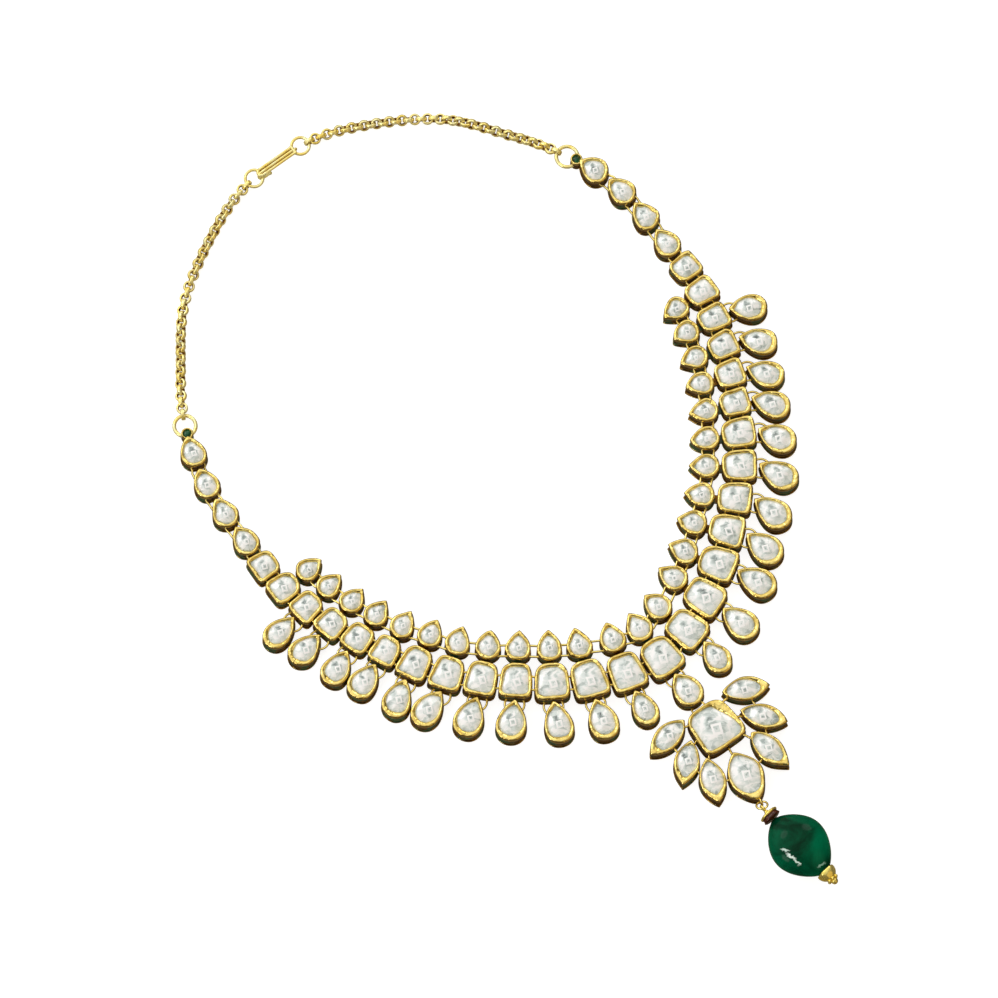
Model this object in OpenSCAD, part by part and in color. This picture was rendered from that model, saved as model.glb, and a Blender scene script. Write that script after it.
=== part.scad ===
// Necklace of gold cases set with flat foiled stones, laid flat with its clasp closed.
// Millimetres. Z is up and the backs of the cases lie at Z = 0.
// The origin is the middle of the centre square's back, +Y runs to the clasp.

/* [Neck loop] */
// Half the loop's width, from middle to middle of the main row
neck_half_w = 61.8; // [56:0.1:70]
// From the centre square to the clasp
neck_len = 152.5; // [146:0.5:172]

/* [Cases] */
// Height of every case
case_h = 4.5; // [4.2:0.1:6]
// Height of the base flange
flange_h = 0.5; // [0.3:0.05:0.6]
// How far the base flange stands out
flange_out = 0.15; // [0.05:0.01:0.16]
// How far the wall under the rim is set back
waist_in = 0.12; // [0.05:0.01:0.3]
// How far the rim stands out
rim_out = 0.04; // [0.02:0.01:0.06]
// Height of the gold rim
rim_h = 0.8; // [0.5:0.05:1]
// Width of the gold rim
rim_w = 0.8; // [0.5:0.05:0.9]
// Bevel along the rim's top edge
bevel = 0.18; // [0.05:0.01:0.3]
// Depth of the seat below the rim's top
seat_depth = 0.9; // [0.7:0.05:1.1]
// Clearance round and under each stone
stone_gap = 0.06; // [0.04:0.01:0.1]
// How far a stone's table stands above the rim
stone_rise = 0.15; // [0:0.05:0.4]
// Height of a stone's upright edge
girdle_h = 0.35; // [0.2:0.05:0.5]
// Gap between neighbours in the main row
unit_gap = 0.68; // [0.65:0.01:0.9]

/* [Main row] */
// Centre square, along the row
square_l = 8.5; // [7.5:0.1:9]
// Centre square, across the row
square_w = 9.4; // [8.6:0.1:10]
// How much a square narrows to its neck side, as a share
square_taper = 0.08; // [0.04:0.01:0.12]
// Length of a pear of the main row
pear_l = 7.7; // [7:0.1:8.2]
// Width of a pear of the main row
pear_w = 6; // [5.4:0.1:6.6]

/* [Inner row] */
// Length of the centre pear of the inner row
inner_l = 7.5; // [6.8:0.1:7.8]
// Width of the centre pear of the inner row
inner_w = 6.1; // [5.5:0.1:6.3]
// Size of the last inner pear, as a share of the first
inner_last = 0.89; // [0.78:0.01:1]
// Gap between a square and its inner pear
inner_gap = 0.7; // [0.5:0.05:1]
// Width of the solder bar between a square and its inner pear
solder_w = 1.8; // [1:0.1:2.4]

/* [Drops] */
// Length of the longest drop
drop_l = 10.2; // [9.2:0.1:10.6]
// Width of the widest drop
drop_w = 7; // [6.2:0.1:7.2]
// Extra gold at a drop's round end
drop_fold = 0.5; // [0.2:0.05:0.8]
// Mean radius of the ring that a drop hangs on
ring_r = 2.3; // [2:0.05:2.4]
// From a square's outer edge to the middle of the ring
ring_out = 0.9; // [0.8:0.05:1.1]
// From the middle of the ring to the drop's tip
tip_in = 0.35; // [0.2:0.05:0.4]

/* [Wires] */
// Diameter of the row wires and hanging rings
wire_d = 0.5; // [0.4:0.02:0.56]
// Clearance round a wire in its channel
wire_gap = 0.12; // [0.08:0.01:0.15]
// Height of the row wires
wire_z = 2.1; // [2.05:0.05:2.3]
// Height of the hanging rings
ring_z = 1; // [0.95:0.05:1.05]
// From the row's middle to each wire of the main row
main_wire_y = 1.6; // [1.2:0.05:1.8]
// From an inner pear's middle to its tip-side wire
inner_wire_tip = 0.5; // [0.2:0.05:0.8]
// From an inner pear's middle to its base-side wire
inner_wire_base = 2.15; // [1.7:0.05:2.2]

/* [Pendant] */
// Length of the pear between the centre square and the rosette
link_l = 8.9; // [8:0.1:9.6]
// Width of that pear
link_w = 6.8; // [6:0.1:7.4]
// Gap between that pear and the rosette
link_gap = 1.2; // [0.9:0.05:1.3]
// Mean radius of the ring between them
link_ring_r = 1.7; // [1.5:0.05:1.9]
// Width of the rosette's centre case
rosette_w = 11.2; // [10.4:0.1:11.8]
// Gold at the upper corner of the rosette's centre stone
rosette_fold = 0.7; // [0.4:0.05:1]
// Length of a common petal
petal_l = 11.5; // [10.5:0.1:11.8]
// Width of a common petal
petal_w = 5.9; // [5:0.1:6]
// Extra gold at a petal's outer tip
petal_fold = 1.1; // [0.6:0.05:1.4]
// Diameter of the bars that join the petals
bar_d = 0.6; // [0.5:0.05:1]

/* [Bead] */
// Length of the green bead
bead_l = 17.8; // [15:0.1:19]
// Width of the green bead
bead_w = 14.2; // [12:0.1:15]
// Thickness of the green bead
bead_t = 9.6; // [9.2:0.1:10.4]
// Diameter of the hole through the bead
bead_hole = 1; // [0.9:0.05:1.2]
// Diameter of the pin through the bead
pin_d = 0.7; // [0.5:0.05:0.75]
// Diameter of the rondelle above the bead
rondelle_d = 4.8; // [3.6:0.1:5]
// Thickness of the rondelle
rondelle_t = 2; // [1.6:0.1:2.4]
// Diameter of the cap below the bead
cap_d = 4.6; // [4:0.1:6]
// Length of the cap
cap_l = 2.1; // [1.6:0.1:2.6]
// Diameter of the end ball
ball_d = 1.7; // [1.2:0.1:2]
// Diameter of one grain round the cap's end
grain_d = 0.9; // [0.7:0.05:1]
// Direction of the bead's axis, from +X
bead_turn = -83; // [-90:1:-76]
// Diameter of the wire of the loops that carry the bead
loop_wire = 0.5; // [0.4:0.02:0.52]
// Mean radius of the two upright loops
loop_r = 0.85; // [0.8:0.01:0.95]
// Height of the loop at the petal
eye_z = 3.3; // [3:0.05:3.4]
// From the petal's loop to the pin's loop, to the left
loop_side = 0.8; // [0.4:0.1:0.9]
// From the petal's loop to the pin's loop, away from the neck
loop_down = 2; // [1.9:0.1:2.3]
// From the pin's loop to the rondelle
pin_neck = 0.55; // [0.45:0.05:0.8]
// Gap at each end of the green bead
bead_gap = 0.1; // [0.1:0.01:0.2]

/* [Chain and clasp] */
// Mean radius of a chain link
link_r = 1.08; // [1.07:0.01:1.09]
// Diameter of a chain link's wire
link_wire = 0.48; // [0.46:0.01:0.49]
// Distance between links, before it is fitted to the chain's length
link_pitch = 1.5; // [1.48:0.01:1.52]
// Largest roll of the links off upright
link_roll = 44; // [0:1:45]
// From the middle of a ring's wire to the middle of the link that hangs on it
link_seat = 0.33; // [0.32:0.01:0.34]
// Mean radius of the plain ring at each end of the row
end_ring_r = 2.55; // [2.3:0.05:2.8]
// Diameter of the end ring's wire
end_ring_wire = 0.8; // [0.7:0.02:0.82]
// Diameter of the small boss with the green stone
boss_d = 2.8; // [2.6:0.1:3]
// Height of that boss
boss_h = 3.8; // [3.4:0.1:4.2]
// Mean radius of a clasp ring
clasp_ring_r = 2.1; // [2:0.05:2.4]
// Diameter of a clasp ring's wire
clasp_ring_wire = 0.66; // [0.58:0.02:0.68]
// Half the distance between the middles of the clasp rings
clasp_half = 6.8; // [6.2:0.1:7.5]
// Diameter of the hook's wire
hook_wire = 0.7; // [0.6:0.02:0.72]
// Distance between the hook's three wires
hook_pitch = 0.8; // [0.78:0.01:0.9]
// Mean radius of the hook's bend
hook_bend = 1; // [0.95:0.01:1.05]
// Clearance between the hook and the two rings
hook_gap = 0.2; // [0.16:0.01:0.22]
// How much higher the clasp rings lie than the links' middles
clasp_lift = 0.22; // [0.2:0.01:0.26]
// Length of the hook's return
hook_return = 1.9; // [1.5:0.1:2.5]
// Diameter of the ball on the hook's tip
hook_ball = 0.95; // [0.9:0.01:1]

/* [Hidden] */

// Route of half the loop, centre to clasp, chosen by eye: shares of half width and length
ROUTE = [[0, 0], [0.275, 0.038], [0.51, 0.106], [0.699, 0.178], [0.832, 0.264], [0.929, 0.347],
    [0.989, 0.435], [0.998, 0.533], [0.984, 0.64], [0.908, 0.737], [0.785, 0.817],
    [0.591, 0.909], [0.259, 0.984], [0, 1]];

// Squares from the centre outwards: length share, width share, turn off the route's heading
SQUARES = [[1, 1, 0], [0.965, 0.98, -7], [0.965, 0.98, -7], [0.94, 0.935, -4], [0.88, 0.885, 1],
    [0.87, 0.87, 6], [0.87, 0.87, 5], [0.845, 0.85, 5], [0.765, 0.745, 8], [0.765, 0.745, 9],
    [0.765, 0.745, 9], [0.755, 0.755, 9], [0.755, 0.765, 8], [0.755, 0.7, 4]];

// Drops from the centre outwards: size share, lean on the right, lean on the left
DROPS = [[0.88, -12, -6], [1, -8, -3], [1, -10, -9], [1, -26, 4], [1, -32, 9], [0.98, -30, 18],
    [0.96, -36, -5], [0.94, -35, 2], [0.92, -38, -6], [0.91, -35, 4], [0.9, -25, -3]];

// Petals, clockwise from the upper right: inner tip as shares of the rosette's width from its
// middle, direction, length share, width share
PETALS = [[0.546, 0.493, -27, 1, 0.96], [0.62, -0.049, -50, 1, 0.97], [0.511, -0.567, -78, 1.02, 1.02],
    [-0.041, -0.693, -98, 1.12, 1.42], [-0.564, -0.459, -111, 0.97, 1.05], [-0.591, 0.038, -137, 0.95, 1.02],
    [-0.439, 0.475, -170, 1, 1]];
MAIN_PETAL = 3;

// Number of pears at each end of the main row, and of inner pears on each side
END_PEARS = 4;
INNERS = 12;
// Rounding of the neck-side and outer corners of a square, 1 would be an ellipse
ARCH = 0.58;
CORNER = 0.4;
// Fullness of a pear's sides, 1 would be straight at the tip
PEAR_FULL = 0.7;
// Pointedness of a petal's ends, 1 would be an ellipse
PETAL_POINT = 1.8;
// Share of a pear's width that the formula for its outline reaches by itself
PEAR_PEAK = 0.812;
// Setback at a tip for each unit of setback along the sides
TIP_RUN = 1.5;
// Share of a stone's outline that its table takes
TABLE = 0.56;
// Where the wires of the main and the inner row bend, as shares of a case's length and width
WIRE_REACH = [0.515, 0.485];
// Sides of a bar or a wire, and of a ring's section
ROUND = 24;
WIRE_SIDES = 6;
GOLD = "goldenrod";
GLASS = "gainsboro";

wire_r = wire_d / 2;
channel_r = wire_r + wire_gap;
last_square = len(SQUARES) - 1;
last_unit = last_square + END_PEARS;
seat_z = case_h - seat_depth;
rosette_y = -(square_w / 2 + ring_out - tip_in + link_l + link_gap + rosette_w / 2);
link_r_out = link_wire / 2;
low_z = link_r + link_r_out;
boss_seat_d = boss_d - 2 * rim_w + 4 * stone_gap;

// Points of a half of the route, in millimetres, with one mirrored point before and after
half = [for (p = ROUTE) [p[0] * neck_half_w, p[1] * neck_len]];
half_last = len(half) - 1;
knots = concat([[-half[1][0], half[1][1]]], half, [[-half[half_last - 1][0], half[half_last - 1][1]]]);

// A smooth curve through four points, between the second and the third
function curve(a, b, c, d, t) = 0.5 * (2 * b + (c - a) * t + (2 * a - 5 * b + 4 * c - d) * t * t
    + (3 * b - a - 3 * c + d) * t * t * t);
STEPS = 16;
route = concat([for (k = [1 : half_last], j = [0 : STEPS - 1])
    curve(knots[k - 1], knots[k], knots[k + 1], knots[k + 2], j / STEPS)], [half[half_last]]);
lengths = [for (i = 0, s = 0; i < len(route); i = i + 1,
    s = s + (i < len(route) ? norm(route[i] - route[i - 1]) : 0)) s];
route_x = [for (i = [0 : len(route) - 1]) [lengths[i], route[i][0]]];
route_y = [for (i = [0 : len(route) - 1]) [lengths[i], route[i][1]]];
half_length = lengths[len(lengths) - 1];

// Place and heading at a distance s from the centre along the right half
function at(s) = [s < 0 ? -lookup(-s, route_x) : lookup(s, route_x), lookup(abs(s), route_y)];
function heading(s) = let (a = at(s - 1), b = at(min(s + 1, half_length)))
    atan2(b[1] - a[1], b[0] - a[0]);
function turned(p, angle) = [p[0] * cos(angle) - p[1] * sin(angle), p[0] * sin(angle) + p[1] * cos(angle)];

// Size along and across the row of unit i, counted from the centre
function unit_l(i) = i <= last_square ? square_l * SQUARES[i][0] : pear_l;
function unit_w(i) = i <= last_square ? square_w * SQUARES[i][1] : pear_w;
function station(i) = i == 0 ? 0 : station(i - 1) + (unit_l(i - 1) + unit_l(i)) / 2 + unit_gap;
stations = [for (i = [0 : last_unit]) station(i)];
function unit_turn(i) = heading(stations[i]) + (i <= last_square ? SQUARES[i][2] : 0);
function inner_share(i) = 1 + (inner_last - 1) * i / INNERS;
function inner_y(i) = unit_w(i) / 2 + inner_gap + inner_l * inner_share(i) / 2;

// A point given in the frame of unit i
function unit_point(i, p) = at(stations[i]) + turned(p, unit_turn(i));

// A wire runs straight through each case, along the line between its places in the neighbours,
// and bends in the open gaps: row is 0 for the main row and 1 for the inner row
last_of_row = [last_unit, INNERS];
wire_places = [[-main_wire_y, main_wire_y], [-inner_wire_base, inner_wire_tip]];
function wire_at(row, i, y) = unit_point(i, [0, row * inner_y(i) + y]);
function wire_turn(row, i, y) = i == 0 ? 0 : let (a = wire_at(row, i - 1, y),
    b = wire_at(row, min(i + 1, last_of_row[row]), y)) atan2(b[1] - a[1], b[0] - a[0]);
function wire_reach(row, i) = WIRE_REACH[row] * (row == 0 ? unit_l(i) : inner_w * inner_share(i));
function wire_ends(i, last, reach) = i == 0 ? [reach] : i == last ? [-reach, 0] : [-reach, reach];
function wire_path(row, y) = [for (i = [0 : last_of_row[row]],
    x = wire_ends(i, last_of_row[row], wire_reach(row, i)))
    wire_at(row, i, y) + turned([x, 0], wire_turn(row, i, y))];
function whole(path) = concat([for (k = [len(path) - 1 : -1 : 0]) [-path[k][0], path[k][1]]], path);

// Stations of the end ring, of the clasp ring and of the first and last chain link
boss_s = stations[last_unit] + pear_l / 2 + boss_d * 0.3;
end_ring_s = boss_s + end_ring_r;
clasp_ring_s = half_length - clasp_half;
first_link_s = end_ring_s + end_ring_r + link_seat;
last_link_s = clasp_ring_s - clasp_ring_r - link_seat;
link_pairs = round((last_link_s - first_link_s) / link_pitch / 2);
link_count = 2 * link_pairs + 1;
pitch = (last_link_s - first_link_s) / (link_count - 1);
clasp_y = at(clasp_ring_s)[1];

// Outlines, set back by t all round: sign keeps the quadrant, pow shapes the corners
function bent(v, e) = sign(v) * pow(abs(v), e);
function square_outline(l, w, t, n) = [for (i = [0 : n - 1]) let (a = 360 * (i + 0.5) / n,
    e = sin(a) > 0 ? ARCH : CORNER, y = bent(sin(a), e))
    [(l / 2 - t) * bent(cos(a), e) * (1 - square_taper * y), (w / 2 - t) * y]];
function pear_outline(l, w, t, n, fold) = [for (i = [0 : n - 1]) let (a = 360 * i / n)
    [(t - w / 2) / PEAR_PEAK * sin(a) * pow(sin(a / 2), PEAR_FULL),
    (l / 2 - (t + TIP_RUN * t + fold) / 2) * cos(a) + (t - TIP_RUN * t + fold) / 2]];
function petal_outline(l, w, t, n, fold) = [for (i = [0 : n - 1]) let (a = 360 * i / n)
    [(t - w / 2) * bent(sin(a), PETAL_POINT), (l / 2 - TIP_RUN * t - fold / 2) * cos(a) + fold / 2]];
function shape(kind, l, w, t, n, fold) = kind == "square" ? square_outline(l, w, t, n)
    : kind == "pear" ? pear_outline(l, w, t, n, fold) : petal_outline(l, w, t, n, fold);
function sides(kind) = kind == "square" ? 20 : 16;
function stone_sides(kind) = kind == "square" ? 16 : 12;

// Outline of a case
module outline(kind, l, w) {
    polygon(shape(kind, l, w, 0, sides(kind), 0));
}

// One layer of a case, grown by out on every side, from z upwards
module layer(out, z, h) {
    translate([0, 0, z])
        linear_extrude(h)
            offset(delta = out)
                children();
}

// A case raised from its outlines: base flange, wall, rim and bevelled edge
module case_body() {
    layer(flange_out, 0, flange_h)
        children();
    layer(-waist_in, flange_h, case_h - rim_h - flange_h)
        children();
    layer(rim_out, case_h - rim_h, rim_h - bevel)
        children();
    layer(-bevel, case_h - bevel, bevel)
        children();
}

// The seat cut into a case for its stone, open at the top
module seat(kind, l, w, fold) {
    translate([0, 0, seat_z])
        linear_extrude(seat_depth + 1)
            polygon(shape(kind, l, w, rim_w, sides(kind), fold));
}

// A stone with an upright edge, sloped facets and a flat table
module stone(kind, l, w, fold) {
    n = stone_sides(kind);
    edge = shape(kind, l, w, rim_w + 2 * stone_gap, n, fold);
    z0 = seat_z + stone_gap;
    z1 = z0 + girdle_h;
    z2 = case_h + stone_rise;
    middle = [0, (edge[0][1] + edge[n / 2][1]) / 2];
    points = concat([for (p = edge) [p[0], p[1], z0]], [for (p = edge) [p[0], p[1], z1]],
        [for (p = edge) [p[0] * TABLE, middle[1] + (p[1] - middle[1]) * TABLE, z2]]);
    faces = concat([[for (i = [0 : n - 1]) i]], [[for (i = [0 : n - 1]) 3 * n - 1 - i]],
        [for (k = [0, n], i = [0 : n - 1]) [k + i, k + n + i, k + n + (i + 1) % n, k + (i + 1) % n]]);
    polyhedron(points, faces);
}

// A ring of round wire about Z
module ring(mean_r, r) {
    rotate_extrude($fn = 48)
        translate([mean_r, 0])
            circle(r, $fn = ROUND);
}

// A round bar at height z from p to q, longer by extra at both ends
module bar(p, q, r, z, extra) {
    translate([p[0], p[1], z])
        rotate([0, 90, atan2(q[1] - p[1], q[0] - p[0])])
            translate([0, 0, -extra])
                cylinder(h = norm(q - p) + 2 * extra, r = r, $fn = ROUND);
}

// Places its child in the frame of unit i: X along the row, Y to the neck
module in_unit(i) {
    translate(at(stations[i]))
        rotate(unit_turn(i))
            children();
}

// The right half is modelled and mirrored for the left
module on_side(side) {
    mirror([side < 0 ? 1 : 0, 0, 0])
        children();
}

// Straight channels for the wires along a row, blind in the last case
module channels(row, i) {
    reach = 2 * wire_reach(row, i);
    for (y = wire_places[row])
        translate([0, row * inner_y(i) + y, wire_z])
            rotate(wire_turn(row, i, y) - unit_turn(i))
                translate([-reach, 0])
                    rotate([0, 90, 0])
                        cylinder(h = i == last_of_row[row] ? reach + wire_d : 2 * reach,
                            r = channel_r, $fn = ROUND);
}

// Middle of the hanging ring of a square, in the square's frame
function ring_place(i) = [0, -(unit_w(i) / 2 + ring_out), ring_z];

// A square with its inner pear soldered on, cut through for stones, wires and hanging ring
module square_unit(i) {
    share = inner_share(i);
    difference() {
        union() {
            case_body() {
                outline("square", unit_l(i), unit_w(i));
                translate([0, inner_y(i)])
                    outline("pear", inner_l * share, inner_w * share);
            }
            translate([-solder_w / 2, unit_w(i) / 2 - rim_w, flange_h / 2])
                cube([solder_w, inner_gap + 2 * rim_w, wire_z - wire_d - flange_h / 2]);
        }
        seat("square", unit_l(i), unit_w(i), 0);
        translate([0, inner_y(i)])
            seat("pear", inner_l * share, inner_w * share, 0);
        if (i < len(DROPS) + 1)
            translate(ring_place(i))
                ring(ring_r, channel_r);
        channels(0, i);
        channels(1, i);
    }
}

// The last square has no inner pear
module plain_square(i) {
    difference() {
        case_body()
            outline("square", unit_l(i), unit_w(i));
        seat("square", unit_l(i), unit_w(i), 0);
        channels(0, i);
    }
}

// A pear of the main row, its tip to the clasp
module row_pear(i) {
    difference() {
        rotate(-90)
            case_body()
                outline("pear", pear_l, pear_w);
        rotate(-90)
            seat("pear", pear_l, pear_w, 0);
        channels(0, i);
    }
}

// Round boss on the last pear's tip, over the end ring's wire, with a seat for its stone
module boss() {
    difference() {
        translate(at(boss_s))
            cylinder(h = boss_h, d = boss_d, $fn = ROUND);
        translate([at(boss_s)[0], at(boss_s)[1], boss_h - seat_depth])
            cylinder(h = seat_depth + 1, d = boss_seat_d, $fn = ROUND);
        translate([at(end_ring_s)[0], at(end_ring_s)[1], low_z])
            ring(end_ring_r, end_ring_wire / 2 + wire_gap);
    }
}

module centre_setting() {
    color(GOLD)
        square_unit(0);
}

module row(side) {
    color(GOLD)
        on_side(side) {
            for (i = [1 : INNERS])
                in_unit(i)
                    square_unit(i);
            in_unit(last_square)
                plain_square(last_square);
            for (i = [last_square + 1 : last_unit])
                in_unit(i)
                    row_pear(i);
            boss();
        }
}

// Places its child where drop k hangs: Y towards the square, origin at the ring's middle
module in_drop(k, side) {
    in_unit(k + 1)
        translate([0, ring_place(k + 1)[1]])
            rotate(DROPS[k][side > 0 ? 1 : 2])
                children();
}

module drop_case(k, side) {
    share = DROPS[k][0];
    in_drop(k, side) {
        difference() {
            union() {
                translate([0, tip_in - drop_l * share / 2])
                    case_body()
                        outline("pear", drop_l * share, drop_w * share);
                translate([0, 0, ring_z])
                    ring(ring_r, wire_r);
            }
            translate([0, tip_in - drop_l * share / 2])
                seat("pear", drop_l * share, drop_w * share, drop_fold);
        }
    }
}

module drops(side) {
    color(GOLD)
        on_side(side)
            for (k = [0 : len(DROPS) - 1])
                drop_case(k, side);
}

module drop_stones(side) {
    color(GLASS)
        on_side(side)
            for (k = [0 : len(DROPS) - 1])
                in_drop(k, side)
                    translate([0, tip_in - drop_l * DROPS[k][0] / 2])
                        stone("pear", drop_l * DROPS[k][0], drop_w * DROPS[k][0], drop_fold);
}

module unit_stone(i) {
    in_unit(i)
        if (i <= last_square)
            stone("square", unit_l(i), unit_w(i), 0);
        else
            rotate(-90)
                stone("pear", pear_l, pear_w, 0);
}

module inner_stone(i) {
    in_unit(i)
        translate([0, inner_y(i)])
            stone("pear", inner_l * inner_share(i), inner_w * inner_share(i), 0);
}

module centre_stone() {
    color(GLASS)
        unit_stone(0);
}

module centre_inner_stone() {
    color(GLASS)
        inner_stone(0);
}

module row_stones(side) {
    color(GLASS)
        on_side(side)
            for (i = [1 : last_unit])
                unit_stone(i);
}

module inner_stones(side) {
    color(GLASS)
        on_side(side)
            for (i = [1 : INNERS])
                inner_stone(i);
}

// A level wire swept along points, with mitred bends and flat ends
module wire(path, r, z) {
    n = len(path);
    m = WIRE_SIDES;
    dirs = [for (i = [0 : n - 2]) (path[i + 1] - path[i]) / norm(path[i + 1] - path[i])];
    across = [for (i = [0 : n - 1]) let (a = dirs[max(i - 1, 0)], b = dirs[min(i, n - 2)], c = (a + b) / 2)
        [-c[1], c[0]] / (c * c)];
    points = [for (i = [0 : n - 1], k = [0 : m - 1])
        [path[i][0] + r * cos(360 * k / m) * across[i][0],
        path[i][1] + r * cos(360 * k / m) * across[i][1], z + r * sin(360 * k / m)]];
    faces = concat([[for (k = [0 : m - 1]) k]], [[for (k = [0 : m - 1]) n * m - 1 - k]],
        [for (i = [0 : n - 2], k = [0 : m - 1])
        [i * m + k, (i + 1) * m + k, (i + 1) * m + (k + 1) % m, i * m + (k + 1) % m]]);
    polyhedron(points, faces);
}

module main_wires() {
    color(GOLD)
        for (y = wire_places[0])
            wire(whole(wire_path(0, y)), wire_r, wire_z);
}

module inner_wires() {
    color(GOLD)
        for (y = wire_places[1])
            wire(whole(wire_path(1, y)), wire_r, wire_z);
}

// The pear that carries the rosette, with a ring at its tip and one at its base
link_top = -(square_w / 2 + ring_out - tip_in);
link_ring_y = link_top - link_l - link_gap / 2;

module link_setting() {
    color(GOLD)
        difference() {
            union() {
                translate([0, link_top - link_l / 2])
                    case_body()
                        outline("pear", link_l, link_w);
                translate([0, link_top - tip_in, ring_z])
                    ring(ring_r, wire_r);
                translate([0, link_ring_y, ring_z])
                    ring(link_ring_r, wire_r);
            }
            translate([0, link_top - link_l / 2])
                seat("pear", link_l, link_w, 0);
        }
}

module link_stone() {
    color(GLASS)
        translate([0, link_top - link_l / 2])
            stone("pear", link_l, link_w, 0);
}

// Places its child in the frame of petal k: Y along the petal to its inner tip
module in_petal(k) {
    translate([PETALS[k][0] * rosette_w, rosette_y + PETALS[k][1] * rosette_w])
        rotate(PETALS[k][2] + 90)
            translate([0, -petal_l * PETALS[k][3] / 2])
                children();
}

// A point on the axis of petal k, at a share of its length from the inner tip
function petal_point(k, share) = [PETALS[k][0] * rosette_w, rosette_y + PETALS[k][1] * rosette_w]
    + share * petal_l * PETALS[k][3] * [cos(PETALS[k][2]), sin(PETALS[k][2])];

// Seat and stone of the rosette's middle sit to one side, with more gold at the upper right
rosette_stone_w = rosette_w - rosette_fold;

module rosette_outline() {
    translate([0, rosette_y])
        outline("square", rosette_w, rosette_w);
    for (k = [0 : len(PETALS) - 1])
        in_petal(k)
            outline("petal", petal_l * PETALS[k][3], petal_w * PETALS[k][4]);
}

// Bars from the centre case to each petal, and from petal to petal
module rosette_bars() {
    for (k = [0 : len(PETALS) - 1])
        bar([PETALS[k][0], PETALS[k][1]] * rosette_w * 0.7 + [0, rosette_y], petal_point(k, 0.25),
            bar_d, wire_z, 0);
    for (k = [1 : len(PETALS) - 1])
        bar(petal_point(k - 1, 0.5), petal_point(k, 0.5), bar_d / 2, wire_z, 0);
}

module rosette() {
    color(GOLD)
        difference() {
            union() {
                case_body()
                    rosette_outline();
                rosette_bars();
                petal_eye();
            }
            translate([-rosette_fold / 2, rosette_y - rosette_fold / 2])
                seat("square", rosette_stone_w, rosette_stone_w, 0);
            for (k = [0 : len(PETALS) - 1])
                in_petal(k)
                    seat("petal", petal_l * PETALS[k][3], petal_w * PETALS[k][4], petal_fold);
            translate([0, link_ring_y, ring_z])
                ring(link_ring_r, channel_r);
        }
}

module rosette_stone() {
    color(GLASS)
        translate([-rosette_fold / 2, rosette_y - rosette_fold / 2])
            stone("square", rosette_stone_w, rosette_stone_w, 0);
}

module petal_stone(k) {
    color(GLASS)
        in_petal(k)
            stone("petal", petal_l * PETALS[k][3], petal_w * PETALS[k][4], petal_fold);
}

// Upright loop on the main petal's outer tip
eye_at = petal_point(MAIN_PETAL, 1) + 0.5 * [cos(PETALS[MAIN_PETAL][2]), sin(PETALS[MAIN_PETAL][2])];

module upright_loop(p, z, direction) {
    translate([p[0], p[1], z])
        rotate([90, 0, direction])
            ring(loop_r, loop_wire / 2);
}

module petal_eye() {
    upright_loop(eye_at, eye_z, PETALS[MAIN_PETAL][2]);
}

// The bead's axis starts at the middle of the pin's loop and is level
bead_z = bead_t / 2;
loop_step = [-loop_side, -loop_down];
loop_at = eye_at + loop_step;
bead_dir = [cos(bead_turn), sin(bead_turn)];
rondelle_at = loop_r + pin_neck;
bead_at = rondelle_at + rondelle_t + bead_gap;
cap_at = bead_at + bead_l + bead_gap;

// Places its child with Z along the bead's axis, from the pin's loop
module on_bead_axis() {
    translate([loop_at[0], loop_at[1], bead_z])
        rotate([0, 90, bead_turn])
            children();
}

// The ring between the two loops passes through the middles of both
module pendant_ring() {
    rise = bead_z - eye_z;
    run = norm(loop_step);
    color(GOLD)
        translate([eye_at[0] + loop_step[0] / 2, eye_at[1] + loop_step[1] / 2, eye_z + rise / 2])
            rotate([0, -atan(rise / run), atan2(loop_step[1], loop_step[0])])
                ring(norm([rise, run]) / 2, loop_wire / 2);
}

// Pin with its loop, the pierced cap below the bead, the grains and the end ball
module bead_pin() {
    color(GOLD) {
        upright_loop(loop_at, bead_z, bead_turn);
        on_bead_axis() {
            translate([0, 0, loop_r])
                cylinder(h = cap_at - loop_r + 0.5, d = pin_d, $fn = ROUND);
            translate([0, 0, cap_at])
                cylinder(h = cap_l, d1 = cap_d, d2 = ball_d, $fn = ROUND);
            translate([0, 0, cap_at + cap_l + ball_d * 0.3])
                sphere(d = ball_d, $fn = ROUND);
            for (a = [0 : 60 : 300])
                rotate(a)
                    translate([ball_d / 2 + grain_d * 0.3, 0, cap_at + cap_l - grain_d * 0.1])
                        sphere(d = grain_d, $fn = ROUND);
        }
    }
}

// Rondelle: two gold plates with a dark band between them
module rondelle() {
    color("saddlebrown")
        on_bead_axis()
            translate([0, 0, rondelle_at])
                rotate_extrude($fn = 48)
                    polygon([[bead_hole / 2, 0], [rondelle_d * 0.36, 0], [rondelle_d / 2, rondelle_t * 0.15],
                        [rondelle_d / 2, rondelle_t * 0.4], [rondelle_d * 0.45, rondelle_t * 0.5],
                        [rondelle_d / 2, rondelle_t * 0.6], [rondelle_d / 2, rondelle_t * 0.85],
                        [rondelle_d * 0.36, rondelle_t], [bead_hole / 2, rondelle_t]]);
}

// Half width of the bead at a share u of its length, fuller towards the loop
BEAD_RINGS = 10;
BEAD_SIDES = 16;
function bead_half(u) = pow(sin(180 * u), 0.62) * (1 + 0.05 * cos(180 * u));

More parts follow.
